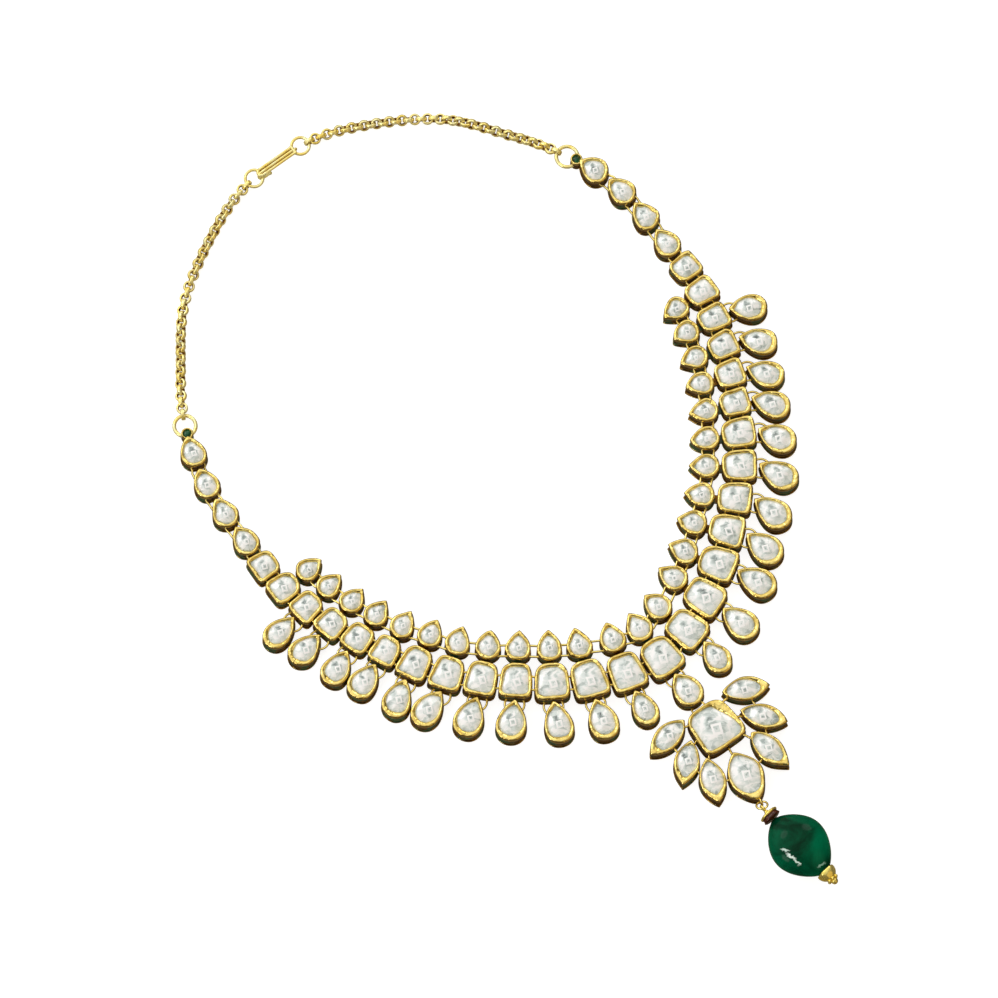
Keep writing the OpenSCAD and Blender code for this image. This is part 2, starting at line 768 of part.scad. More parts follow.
module emerald_bead() {
    flat = [for (j = [1 : BEAD_RINGS]) let (u = (1 - cos(180 * j / (BEAD_RINGS + 1))) / 2,
        h = bead_half(u)) [u * bead_l, h * bead_t / 2, h * bead_w / 2]];
    points = concat([[0, 0, 0]], [for (f = flat, k = [0 : BEAD_SIDES - 1]) let (a = 360 * k / BEAD_SIDES)
        [f[1] * cos(a), f[2] * sin(a), f[0]]], [[0, 0, bead_l]]);
    m = BEAD_SIDES;
    top = len(points) - 1;
    faces = concat([for (k = [0 : m - 1]) [0, 1 + k, 1 + (k + 1) % m]],
        [for (j = [0 : BEAD_RINGS - 2], k = [0 : m - 1])
        [1 + j * m + k, 1 + (j + 1) * m + k, 1 + (j + 1) * m + (k + 1) % m, 1 + j * m + (k + 1) % m]],
        [for (k = [0 : m - 1]) [top, top - m + (k + 1) % m, top - m + k]]);
    color("darkgreen")
        on_bead_axis()
            translate([0, 0, bead_at])
                difference() {
                    polyhedron(points, faces);
                    translate([0, 0, -bead_gap])
                        cylinder(h = bead_l + 2 * bead_gap, d = bead_hole, $fn = ROUND);
                }
}

module end_stone(side) {
    color("green")
        on_side(side)
            translate([at(boss_s)[0], at(boss_s)[1], boss_h - seat_depth + stone_gap])
                cylinder(h = seat_depth, d1 = boss_seat_d - 2 * stone_gap, d2 = boss_seat_d * TABLE, $fn = 8);
}

module level_ring(side, s, z, r, thick) {
    color(GOLD)
        on_side(side)
            translate([at(s)[0], at(s)[1], z])
                ring(r, thick / 2);
}

module end_ring(side) {
    level_ring(side, end_ring_s, low_z, end_ring_r, end_ring_wire);
}

module clasp_ring(side) {
    level_ring(side, clasp_ring_s, clasp_z, clasp_ring_r, clasp_ring_wire);
}

// Links stand upright and level in turn, and roll to each side along the chain
function roll_of(k) = link_roll * sin(360 * k / (link_count - 1));

module chain(side) {
    color(GOLD)
        on_side(side)
            for (k = [0 : link_count - 1]) {
                s = first_link_s + k * pitch;
                translate([at(s)[0], at(s)[1], link_r * cos(roll_of(k)) + link_r_out])
                    rotate([0, 0, heading(s)])
                        rotate([roll_of(k) + (k % 2 == 0 ? 90 : 0), 0, 0])
                            ring(link_r, link_r_out);
            }
}

// The hook: an eye round the right ring, three wires side by side, a bend round the left ring
hook_r = hook_wire / 2;
hook_end = clasp_half - clasp_ring_r;
clasp_z = low_z + clasp_lift;
hook_rise = clasp_ring_wire / 2 + hook_r + hook_gap;
hook_z = clasp_z + hook_rise;
hook_tilt = acos(hook_rise / hook_bend);
eye_r = hook_r * 0.85;

module hook_eye() {
    translate([hook_end, clasp_y, clasp_z])
        rotate([90, 0, 0])
            ring(clasp_ring_wire / 2 + hook_gap + eye_r, eye_r);
}

module clasp_hook() {
    color(GOLD) {
        hook_eye();
        for (y = [-1, 0, 1])
            bar([-hook_end, clasp_y + y * hook_pitch], [hook_end, clasp_y + y * hook_pitch],
                hook_r, hook_z, 0);
        for (x = [-hook_end, hook_end])
            translate([x, clasp_y, hook_z])
                rotate([90, 0, 0])
                    cylinder(h = 2 * (hook_pitch + hook_r), r = hook_r * 1.1, center = true, $fn = ROUND);
        translate([-hook_end, clasp_y, hook_z])
            rotate([90 - hook_tilt, 0, 0])
                translate([0, -hook_bend, 0])
                    bend_and_return();
    }
}

// Half a turn of wire, the return and its ball, in the plane of the bend
module bend_and_return() {
    rotate_extrude(angle = 180, start = 90, $fn = 48)
        translate([hook_bend, 0])
            circle(hook_r, $fn = ROUND);
    translate([0, -hook_bend, 0])
        rotate([0, 90, 0])
            cylinder(h = hook_return, r = hook_r, $fn = ROUND);
    translate([hook_return, -hook_bend, 0])
        sphere(d = hook_ball, $fn = ROUND);
}

centre_setting();
row(1);  // row_right
row(-1);  // row_left
drops(1);  // drops_right
drops(-1);  // drops_left
centre_stone();
centre_inner_stone();
row_stones(1);  // row_stones_right
row_stones(-1);  // row_stones_left
inner_stones(1);  // inner_stones_right
inner_stones(-1);  // inner_stones_left
drop_stones(1);  // drop_stones_right
drop_stones(-1);  // drop_stones_left
main_wires();
inner_wires();
link_setting();
link_stone();
rosette();
rosette_stone();
petal_stone(0);  // petal_stone_1
petal_stone(1);  // petal_stone_2
petal_stone(2);  // petal_stone_3
petal_stone(3);  // petal_stone_4
petal_stone(4);  // petal_stone_5
petal_stone(5);  // petal_stone_6
petal_stone(6);  // petal_stone_7
pendant_ring();
bead_pin();
rondelle();
emerald_bead();
end_stone(1);  // end_stone_right
end_stone(-1);  // end_stone_left
end_ring(1);  // end_ring_right
end_ring(-1);  // end_ring_left
chain(1);  // chain_right
chain(-1);  // chain_left
clasp_ring(1);  // clasp_ring_right
clasp_ring(-1);  // clasp_ring_left
clasp_hook();
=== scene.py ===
"""Looks of a gold collar necklace of foiled flat stones, laid flat with its clasp closed.

Lengths in the tables and functions are millimetres, as in the part's source. They become metres
when a mesh is made. X runs to the right, Y from the centre square to the clasp and Z up.
"""
import math

import bpy
import numpy as np
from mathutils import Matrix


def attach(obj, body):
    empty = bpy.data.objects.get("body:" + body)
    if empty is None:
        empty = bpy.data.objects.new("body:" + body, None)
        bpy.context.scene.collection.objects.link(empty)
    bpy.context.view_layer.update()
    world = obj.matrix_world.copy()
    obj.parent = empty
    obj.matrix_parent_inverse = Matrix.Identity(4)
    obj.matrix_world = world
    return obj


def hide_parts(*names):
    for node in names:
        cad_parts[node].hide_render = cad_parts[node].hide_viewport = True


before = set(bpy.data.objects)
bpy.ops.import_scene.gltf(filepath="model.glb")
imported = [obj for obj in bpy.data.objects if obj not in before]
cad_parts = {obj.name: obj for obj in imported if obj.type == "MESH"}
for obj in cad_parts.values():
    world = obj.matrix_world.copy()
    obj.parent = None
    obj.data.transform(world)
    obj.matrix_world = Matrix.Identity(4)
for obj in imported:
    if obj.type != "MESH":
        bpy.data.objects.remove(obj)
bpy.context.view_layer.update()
MM = 0.001
TAU = 2 * math.pi

# Camera, from above and a little from the wearer's chest

LOOK_AT = np.array([-7.8, 53.4, 4.5])
AZIMUTH, ELEVATION = math.radians(-36.5), math.radians(73.5)
LENS, SENSOR, FRAME_WIDTH = 500.0, 36.0, 234.5
# Directions of the picture on the table top
PICTURE_RIGHT = np.array([math.cos(AZIMUTH), math.sin(AZIMUTH)])
PICTURE_UP = np.array([-math.sin(AZIMUTH), math.cos(AZIMUTH)])

camera_data = bpy.data.cameras.new("camera")
camera_data.lens = LENS
camera_data.sensor_width = SENSOR
camera = bpy.data.objects.new("camera", camera_data)
bpy.context.scene.collection.objects.link(camera)
bpy.context.scene.camera = camera
towards_camera = np.array([*(-math.cos(ELEVATION) * PICTURE_UP), math.sin(ELEVATION)])
camera.location = (LOOK_AT + towards_camera * FRAME_WIDTH * LENS / SENSOR) * MM
camera.rotation_euler = (math.pi / 2 - ELEVATION, 0, AZIMUTH)
camera_data.clip_start = 0.01
bpy.context.scene.view_settings.view_transform = "Standard"

# Sizes, the same as the part's

NECK_HALF_W, NECK_LEN = 61.8, 152.5
CASE_H, UNIT_GAP = 4.5, 0.68
SQUARE_L, SQUARE_W, TAPER = 8.5, 9.4, 0.08
PEAR_L, PEAR_W = 7.7, 6.0
INNER_L, INNER_W, INNER_LAST, INNER_GAP = 7.5, 6.1, 0.89, 0.7
DROP_L, DROP_W, DROP_FOLD = 10.2, 7.0, 0.5
RING_R, RING_OUT, TIP_IN, RING_Z = 2.3, 0.9, 0.35, 1.0
WIRE_D, WIRE_Z, MAIN_WIRE_Y, INNER_WIRE_TIP, INNER_WIRE_BASE = 0.5, 2.1, 1.6, 0.5, 2.15
WIRE_REACH = (0.515, 0.485)
LINK_L, LINK_W, LINK_GAP, LINK_RING_R = 8.9, 6.8, 1.2, 1.7
ROSETTE_W, PETAL_L, PETAL_W, PETAL_FOLD, BAR_R = 11.2, 11.5, 5.9, 1.1, 0.3
BEAD_L, BEAD_W, BEAD_T, BEAD_TURN = 17.8, 14.2, 9.6, math.radians(-83)
RONDELLE_D, RONDELLE_T, CAP_D, CAP_L, BALL_D, GRAIN_D = 4.8, 2.0, 4.6, 2.1, 1.7, 0.9
LOOP_WIRE, LOOP_R, EYE_Z, PIN_D = 0.5, 0.85, 3.3, 0.7
CHAIN_R, CHAIN_WIRE, CHAIN_PITCH, CHAIN_ROLL = 1.08, 0.48, 1.5, math.radians(44)
END_RING_R, END_RING_WIRE, BOSS_D, BOSS_H = 2.55, 0.8, 2.8, 3.8
CLASP_RING_R, CLASP_RING_WIRE, CLASP_HALF = 2.1, 0.66, 6.8
# Only here: rim, unevenness and place of the small round cases, radii of visible wires, the large
# rings' swell, and a link's band
BOSS_RIM, BOSS_UNEVEN, BOSS_OUT = 0.55, 0.2, 0.3
ROW_WIRE_R, DROP_RING_WIRE_R, END_RING_SWELL = 0.58 * WIRE_D, 0.56 * WIRE_D, 0.56
BAND_THICK, BAND_WIDE, BAND_LIFT = 0.32, 0.5, 0.75
HOOK_WIRE, HOOK_PITCH, HOOK_BEND, HOOK_GAP = 0.7, 0.8, 1.0, 0.2
CLASP_LIFT, HOOK_RETURN, HOOK_BALL = 0.22, 1.9, 0.95

# Half of the route, centre to clasp, as shares of the half width and the length
ROUTE = [(0, 0), (0.275, 0.038), (0.51, 0.106), (0.699, 0.178), (0.832, 0.264), (0.929, 0.347),
         (0.989, 0.435), (0.998, 0.533), (0.984, 0.64), (0.908, 0.737), (0.785, 0.817),
         (0.591, 0.909), (0.259, 0.984), (0, 1)]
# Squares from the centre outwards: length share, width share, turn off the route
SQUARES = [(1, 1, 0), (0.965, 0.98, -7), (0.965, 0.98, -7), (0.94, 0.935, -4), (0.88, 0.885, 1),
           (0.87, 0.87, 6), (0.87, 0.87, 5), (0.845, 0.85, 5), (0.765, 0.745, 8), (0.765, 0.745, 9),
           (0.765, 0.745, 9), (0.755, 0.755, 9), (0.755, 0.765, 8), (0.755, 0.7, 4)]
# Drops from the centre outwards: size share, lean on the right, lean on the left
DROPS = [(0.88, -12, -6), (1, -8, -3), (1, -10, -9), (1, -26, 4), (1, -32, 9), (0.98, -30, 18),
         (0.96, -36, -5), (0.94, -35, 2), (0.92, -38, -6), (0.91, -35, 4), (0.9, -25, -3)]
# Petals: inner tip as shares of the rosette's width, direction, length share, width share
PETALS = [(0.546, 0.493, -27, 1, 0.96), (0.62, -0.049, -50, 1, 0.97), (0.511, -0.567, -78, 1.02, 1.02),
          (-0.041, -0.693, -98, 1.12, 1.42), (-0.564, -0.459, -111, 0.97, 1.05),
          (-0.591, 0.038, -137, 0.95, 1.02), (-0.439, 0.475, -170, 1, 1)]
MAIN_PETAL = 3
UP = np.array([0, 0, 1.0])
END_PEARS, INNERS = 4, 12
ARCH, CORNER, PEAR_FULL, PEAR_PEAK, TIP_RUN = 0.58, 0.4, 0.7, 0.812, 1.5
PEAR_ROUNDER, PEAR_PEAK_RISE = 0.22, 0.045
PETAL_SHARP, PETAL_ROUNDER, PETAL_WIDER, PETAL_LONGER = 1.8, 0.6, 0.18, 0.2
LAST_SQUARE = len(SQUARES) - 1
LAST_UNIT = LAST_SQUARE + END_PEARS
SOLDER_HALF_W, SOLDER_SUNK, SOLDER_Z = 0.9, 0.5, (0.25, 1.6)
LOW_Z = CHAIN_R + CHAIN_WIRE / 2

# The route and the places along it


def route_of_half():
    """Points of the right half: a Catmull-Rom curve, that is a cubic through each four chosen points."""
    half = np.array(ROUTE) * [NECK_HALF_W, NECK_LEN]
    knots = np.vstack([half[1] * [-1, 1], half, half[-2] * [-1, 1]])
    a, b, c, d = (knots[k:len(knots) - 3 + k, None, :] for k in range(4))
    t = (np.arange(16) / 16)[None, :, None]
    points = 0.5 * (2 * b + (c - a) * t + (2 * a - 5 * b + 4 * c - d) * t ** 2
                    + (3 * b - a - 3 * c + d) * t ** 3)
    return np.vstack([points.reshape(-1, 2), half[-1]])


ROUTE_XY = route_of_half()
ROUTE_S = np.concatenate([[0], np.cumsum(np.hypot(*np.diff(ROUTE_XY, axis=0).T))])
HALF_LENGTH = ROUTE_S[-1]


def at(s):
    """Place at the distance s from the centre along the right half, by linear interpolation."""
    return np.array([math.copysign(1, s) * np.interp(abs(s), ROUTE_S, ROUTE_XY[:, 0]),
                     np.interp(abs(s), ROUTE_S, ROUTE_XY[:, 1])])


def heading(s):
    """Direction of the route at s, in radians, across one millimetre to each side."""
    step = at(min(s + 1, HALF_LENGTH)) - at(s - 1)
    return math.atan2(step[1], step[0])


def unit_size(i):
    """Length and width of unit i of the main row."""
    if i <= LAST_SQUARE:
        return SQUARE_L * SQUARES[i][0], SQUARE_W * SQUARES[i][1]
    return PEAR_L, PEAR_W


STATIONS = [0.0]
for i in range(1, LAST_UNIT + 1):
    STATIONS.append(STATIONS[-1] + (unit_size(i - 1)[0] + unit_size(i)[0]) / 2 + UNIT_GAP)
BOSS_S = STATIONS[LAST_UNIT] + PEAR_L / 2 + BOSS_D * BOSS_OUT


def unit_turn(i):
    """Direction of unit i, in radians."""
    return heading(STATIONS[i]) + (math.radians(SQUARES[i][2]) if i <= LAST_SQUARE else 0)


def inner_share(i):
    """Size of the inner pear i as a share of the first one."""
    return 1 + (INNER_LAST - 1) * i / INNERS


def inner_y(i):
    """From the middle of square i to the middle of its inner pear."""
    return unit_size(i)[1] / 2 + INNER_GAP + INNER_L * inner_share(i) / 2


def turned(points, angle):
    """Points turned about the origin by the angle: x cos - y sin, x sin + y cos."""
    x, y = points[..., 0], points[..., 1]
    c, s = math.cos(angle), math.sin(angle)
    return np.stack([x * c - y * s, x * s + y * c], axis=-1)


def in_unit(i, side):
    """The map from the frame of unit i to the table top, mirrored for the left side."""
    origin, angle = at(STATIONS[i]), unit_turn(i)
    return lambda p: (turned(p, angle) + origin) * [side, 1]


def in_drop(k, side):
    """The map from the frame of drop k, with its ring's middle at the origin, to the table top."""
    unit = in_unit(k + 1, side)
    lean = math.radians(DROPS[k][1 if side > 0 else 2])
    return lambda p: unit(turned(p, lean) + [0, -(unit_size(k + 1)[1] / 2 + RING_OUT)])


ROSETTE_Y = -(SQUARE_W / 2 + RING_OUT - TIP_IN + LINK_L + LINK_GAP + ROSETTE_W / 2)
LINK_TOP = -(SQUARE_W / 2 + RING_OUT - TIP_IN)
LINK_RING_Y = LINK_TOP - LINK_L - LINK_GAP / 2


def petal_direction(k):
    """Unit vector from the inner to the outer tip of petal k."""
    angle = math.radians(PETALS[k][2])
    return np.array([math.cos(angle), math.sin(angle)])


def petal_point(k, share):
    """Point on the axis of petal k at a share of its length from the inner tip."""
    tip = np.array(PETALS[k][:2]) * ROSETTE_W + [0, ROSETTE_Y]
    return tip + share * PETAL_L * PETALS[k][3] * petal_direction(k)


def in_petal(k):
    """The map from the frame of petal k, Y towards its inner tip, to the table top."""
    turn = math.radians(PETALS[k][2] + 90)
    return lambda p: turned(p + [0, -PETAL_L * PETALS[k][3] / 2], turn) + petal_point(k, 0)


# Pieces


class Piece:
    """Collects surfaces in millimetres, with finish numbers and picture-aligned coordinates."""

    def __init__(self):
        self.points, self.faces, self.finish, self.smooth, self.marks = [], [], [], [], []
        self.count = 0

    def add(self, points, faces, finish=0, marks=0.0, smooth=True):
        """Adds a closed surface: points (n, 3) and faces, a list of index arrays (m, k). The faces are
        turned to point outwards: six times the volume inside, the sum of a . (b x c) over fans of
        triangles, has to come out positive. Finish is one number or one a face."""
        points = np.asarray(points, float).reshape(-1, 3)
        inside = sum((points[block[:, :1]] * np.cross(points[block[:, 1:-1]], points[block[:, 2:]])).sum()
                     for block in faces)
        total = 0
        for block in faces:
            block = block[:, ::-1] if inside < 0 else block
            self.faces += (block + self.count).tolist()
            total += len(block)
        self.finish.append(np.broadcast_to(finish, total))
        self.smooth.append(np.full(total, smooth))
        self.points.append(points)
        self.marks.append(np.broadcast_to(marks, (len(points), 2)))
        self.count += len(points)

    def make(self, name, finishes, replaces, slot):
        """Makes the object at the origin, with its finishes, riding on the part."""
        mesh = bpy.data.meshes.new(name)
        points = np.vstack(self.points)
        mesh.from_pydata((points * MM).tolist(), [], self.faces)
        for finish in finishes:
            mesh.materials.append(finish)
        mesh.polygons.foreach_set("material_index", np.concatenate(self.finish).astype(np.int32))
        mesh.polygons.foreach_set("use_smooth", np.concatenate(self.smooth))
        corners = np.empty(len(mesh.loops), dtype=np.int32)
        mesh.loops.foreach_get("vertex_index", corners)
        layer = mesh.uv_layers.new(name="marks")
        layer.data.foreach_set("uv", np.vstack(self.marks)[corners].astype(np.float32).ravel())
        mesh.update()
        piece = bpy.data.objects.new(name, mesh)
        bpy.context.scene.collection.objects.link(piece)
        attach(piece, "root")
        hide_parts(*replaces)


def angles(count):
    """Equal steps round a circle, in radians."""
    return TAU * np.arange(count) / count


def band(rows, columns, closed_rows=False):
    """Quads between the neighbours of a grid of rows by columns, closed round each row. With closed
    rows the last one joins the first."""
    r = np.arange(rows if closed_rows else rows - 1)[:, None] * columns
    c = np.arange(columns)[None]
    r2, c2 = (r + columns) % (rows * columns), (c + 1) % columns
    return np.stack([r + c, r + c2, r2 + c2, r2 + c], axis=-1).reshape(-1, 4)


def ends(rows, columns):
    """Two flat faces that close the first and the last row of a grid."""
    row = np.arange(columns)[None]
    return [row[:, ::-1], row + (rows - 1) * columns]


def tube(piece, path, radius, normal=(0, 0, 1), closed=False, sides=10, finish=0):
    """Round wire along a path in a plane: each section is a circle across the mean of its two
    neighbouring directions, path + r (cos k * side + sin k * normal)."""
    if closed:
        along = np.roll(path, -1, 0) - np.roll(path, 1, 0)
    else:
        along = np.gradient(path, axis=0)
    along /= np.linalg.norm(along, axis=1, keepdims=True)
    normal = np.broadcast_to(normal, path.shape)
    side = np.cross(along, normal)
    side /= np.linalg.norm(side, axis=1, keepdims=True)
    k = angles(sides)[None, :, None]
    points = path[:, None] + radius * (np.cos(k) * side[:, None] + np.sin(k) * normal[:, None])
    piece.add(points, [band(len(path), sides, closed)] + ([] if closed else ends(len(path), sides)), finish)


def ring(piece, middle, mean_r, radius, first=(1, 0, 0), second=(0, 1, 0), steps=40, sides=10):
    """Ring of round wire: middle + R (cos a * first + sin a * second)."""
    a = angles(steps)[:, None]
    path = np.array(middle) + mean_r * (np.cos(a) * first + np.sin(a) * second)
    tube(piece, path, radius, np.cross(first, second), closed=True, sides=sides)


def ball(piece, middle, radius, around=14, rows=8):
    """Ball: rows of cos u cos v, sin u cos v, sin v, closed by a point at each pole."""
    v = math.pi * (np.arange(1, rows + 1) / (rows + 1) - 0.5)[:, None]
    u = angles(around)[None]
    body = np.stack([np.cos(u) * np.cos(v), np.sin(u) * np.cos(v), np.sin(v) + 0 * u], axis=-1)
    points = np.vstack([body.reshape(-1, 3), [[0, 0, -1], [0, 0, 1]]]) * radius + middle
    k, last = np.arange(around), (rows - 1) * around
    low = np.stack([np.full(around, rows * around), (k + 1) % around, k], axis=-1)
    high = np.stack([np.full(around, rows * around + 1), last + k, last + (k + 1) % around], axis=-1)
    piece.add(points, [band(rows, around), low, high])


# Cases and stones


def bent(v, power):
    """Keeps the sign and bends the size by the power."""
    return np.sign(v) * np.abs(v) ** power


def shape(kind, length, width, inset, a, fold, inward=0.0):
    """Outline of a case set back by the inset, at the angles a: square, pear, petal or round.
    A square is a superellipse with a softer neck side. A pear is a sine times a half-angle sine.
    Pears and petals grow rounder at the tips as inward goes from 0 to 1."""
    if kind == "square":
        power = np.where(np.sin(a) > 0, ARCH, CORNER)
        y = bent(np.sin(a), power)
        x = (length / 2 - inset) * bent(np.cos(a), power) * (1 - TAPER * y)
        y = (width / 2 - inset) * y
    elif kind == "pear":
        full, peak = PEAR_FULL - PEAR_ROUNDER * inward, PEAR_PEAK + PEAR_PEAK_RISE * inward
        x = (inset - width / 2) / peak * np.sin(a) * np.sin(a / 2) ** full
        reach, shift = inset + TIP_RUN * inset + fold, inset - TIP_RUN * inset + fold
        y = (length - reach) / 2 * np.cos(a) + shift / 2
    elif kind == "petal":
        x = (inset - width / 2 - PETAL_WIDER * inward) * bent(np.sin(a), PETAL_SHARP - PETAL_ROUNDER * inward)
        y = (length / 2 - TIP_RUN * inset - fold / 2 + PETAL_LONGER * inward) * np.cos(a) + fold / 2
    else:
        radius = width / 2 - BOSS_RIM * inset
        x, y = radius * np.cos(a), radius * np.sin(a)
    return np.stack([x, y], -1)


SECTIONS = 56
# Unevenness of a case: lean, waves of its outline, lip and rim height with their limits. Then the
# rim's middle and half width, the height where its dips start, and a cut's softness
SKEW, WOBBLE, WOBBLE_MOST = 0.035, 0.1, 0.09
LIP, LIP_IN, LIP_OUT, SWELL, SWELL_MOST = 0.11, 0.07, 0.15, 0.05, 0.07
RIM_MIDDLE, RIM_HALF, RIM_FOOT_Z, CUT_SOFT = 0.3, 0.5, 4.2, 0.35


class Case:
    """One case: its outline, its hand-made unevenness and its place."""

    def __init__(self, kind, length, width, place, seed, fold=0.0, height=CASE_H):
        self.kind, self.length, self.width, self.place = kind, length, width, place
        self.fold, self.height = fold, height
        self.rng = rng = np.random.default_rng(seed)
        start = math.pi / 2 if kind == "square" else 0.0
        turn = 1 if kind in ("square", "round") else -1
        fine = start + turn * np.linspace(0, TAU, 1441)
        base = shape(kind, length, width, 0.0, fine % TAU, 0.0)
        run = np.concatenate([[0], np.cumsum(np.hypot(*np.diff(base, axis=0).T))])
        self.a = np.interp(np.arange(SECTIONS) / SECTIONS * run[-1], run, fine) % TAU
        # Five waves round the outline, each with a drawn phase and a drawn height
        k = np.arange(2, 7)[:, None]
        waves = np.cos(k * self.a + rng.uniform(0, TAU, (5, 1))) / k
        self.wobble = WOBBLE * (rng.normal(size=(5, 1)) * waves).sum(0)
        high = rng.normal(size=(5, 1))
        self.lip = LIP * (high * np.cos(k * self.a + rng.uniform(0, TAU, (5, 1))) / np.sqrt(k)).sum(0)
        high = rng.normal(size=(5, 1))
        self.swell = SWELL * (high * np.cos((k + 2) * self.a + rng.uniform(0, TAU, (5, 1)))).sum(0)
        self.skew = rng.uniform(-SKEW, SKEW) if kind == "square" else 0.0
        self.cut = None

    def rings(self, inset):
        """Outlines (rings, sections, 2) on the table top at the insets. The fold and the lip's
        unevenness grow from nothing at the rim's middle to their full size at its inner edge."""
        inset = np.asarray(inset, float)[:, None]
        inward = np.clip((inset - RIM_MIDDLE) / RIM_HALF, 0, 1)
        set_back = inset + np.clip(self.wobble, -WOBBLE_MOST, WOBBLE_MOST)
        set_back = set_back + inward * np.clip(self.lip, -LIP_IN, LIP_OUT)
        p = shape(self.kind, self.length, self.width, set_back, self.a[None], self.fold * inward, inward)
        p[..., 0] += self.skew * p[..., 1]
        if self.cut is not None:
            normal, reach = np.array(self.cut[:2]), self.cut[2]
            soft = CUT_SOFT * np.logaddexp(0, (p @ normal - reach) / CUT_SOFT)
            p = p - (soft * inward)[..., None] * normal
        return self.place(p)


# Profile of a case from its back to the lip over the stone: inset, height, finish of the next step,
# where 1 is the dark wall of painted shade with patches of enamel
PROFILE = np.array([
    (-0.08, 0.0, 0), (-0.15, 0.08, 0), (-0.15, 0.4, 0), (-0.08, 0.5, 1), (0.08, 0.56, 1), (0.12, 0.75, 1),
    (0.12, 1.3, 0), (0.05, 1.4, 0), (0.04, 1.5, 0), (0.06, 1.62, 1), (0.12, 1.72, 1), (0.12, 2.75, 0),
    (0.09, 3.2, 0), (0.0, 3.5, 0), (-0.04, 3.72, 0), (-0.05, 3.95, 0), (-0.02, 4.17, 0), (0.06, 4.35, 0),
    (0.2, 4.46, 0), (0.36, 4.5, 0), (0.52, 4.46, 0), (0.65, 4.36, 0), (0.75, 4.21, 0), (0.81, 4.02, 0),
    (0.83, 3.8, 0)])


def add_case(piece, case):
    """Case wall and rim: the outline at each inset and height of the profile, a back and a floor."""
    inset, z, finish = PROFILE.T
    z = z * case.height / CASE_H
    dips = np.clip(case.swell, -SWELL_MOST, 0.0) * ((inset > 0.05) & (z > RIM_FOOT_Z))[:, None]
    points = np.concatenate([case.rings(inset), (z[:, None] + dips)[..., None]], -1)
    steps = np.repeat(finish[:-1], SECTIONS)
    piece.add(points, [band(len(z), SECTIONS)] + ends(len(z), SECTIONS), np.concatenate([steps, [0, 1]]))


# Shares of a stone's outline from its edge to its middle, and its heights for a case of full height
RHO = np.array([1, 0.985, 0.94, 0.87, 0.78, 0.68, 0.57, 0.46, 0.36, 0.26, 0.17, 0.08])
STONE_INSET, STONE_Z, STONE_FOOT_Z, STONE_RISE, DOME, EDGE_DIP = 0.8, 3.86, 3.6, 0.72, 2.2, 0.02


def add_stone(piece, case, facets=7, lift=1.0):
    """Flat stone: a low dome 1 - rho^2.2 over the lip's outline, cut by sloping planes near its edge,
    with a rounded middle. Marks are its picture-aligned coordinates, 1 at the mean half size."""
    edge = case.rings([STONE_INSET])[0]
    middle = edge.mean(0)
    ray = edge - middle
    size = np.hypot(*ray.T).mean()
    rho = RHO[:, None]
    q = ray[None] * rho[..., None] / size
    low, rise = STONE_Z * case.height / CASE_H, STONE_RISE * lift
    dome = low + rise * (1 - rho ** DOME)
    rng = case.rng
    around = (np.arange(facets) + rng.uniform(-0.3, 0.3, facets)) * TAU / facets + rng.uniform(0, TAU)
    far = rng.uniform(0.58, 0.8, facets)
    out = np.stack([np.cos(around), np.sin(around)], -1)
    slope = -DOME * rise * far[:, None] ** (DOME - 1) * out
    start = low + rise * (1 - far ** DOME) - rng.uniform(0.03, 0.085, facets) * lift
    planes = start + ((q[:, :, None] - out * far[:, None]) * slope).sum(-1)
    z = np.where(rho > 0.97, dome - EDGE_DIP, np.maximum(np.minimum(dome, planes.min(-1)), low))
    foot = np.full((SECTIONS, 1), STONE_FOOT_Z * case.height / CASE_H)
    body = np.concatenate([middle + q * size, z[..., None]], -1).reshape(-1, 3)
    points = np.vstack([np.hstack([edge, foot]), body, [[*middle, low + rise]]])
    rows = len(RHO) + 1
    k = np.arange(SECTIONS)
    last = (rows - 1) * SECTIONS
    cap = np.stack([last + k, last + (k + 1) % SECTIONS, np.full(SECTIONS, rows * SECTIONS)], -1)
    relative = (points[:, :2] - middle) / size
    marks = np.stack([relative @ PICTURE_RIGHT, relative @ PICTURE_UP], -1)
    piece.add(points, [band(rows, SECTIONS), k[None, ::-1], cap], 0, marks)


# Each kind of case has its own hundred of seeds, and the left side's start 40 higher
def square_case(i, side):
    """Case of square i."""
    length, width = unit_size(i)
    return Case("square", length, width, in_unit(i, side), 100 + i + 40 * (side < 0))


def shifted(place, offset, quarter=0):
    """A place moved in its own frame by the offset, after a turn by quarter turns."""
    return lambda p: place(turned(p, quarter * math.pi / 2) + offset)


def inner_case(i, side):
    """Case of inner pear i."""
    share = inner_share(i)
    place = shifted(in_unit(i, side), [0, inner_y(i)])
    return Case("pear", INNER_L * share, INNER_W * share, place, 200 + i + 40 * (side < 0))


def end_pear(i, side):
    """Case of a pear of the main row, its tip to the clasp."""
    return Case("pear", PEAR_L, PEAR_W, shifted(in_unit(i, side), [0, 0], -1), 300 + i + 40 * (side < 0))


def drop_case(k, side):
    """Case of drop k."""
    length, width = DROP_L * DROPS[k][0], DROP_W * DROPS[k][0]
    place = shifted(in_drop(k, side), [0, TIP_IN - length / 2])
    return Case("pear", length, width, place, 400 + k + 40 * (side < 0), DROP_FOLD)


def petal_case(k):
    """Case of petal k of the rosette."""
    return Case("petal", PETAL_L * PETALS[k][3], PETAL_W * PETALS[k][4], in_petal(k), 500 + k, PETAL_FOLD)


# Finishes


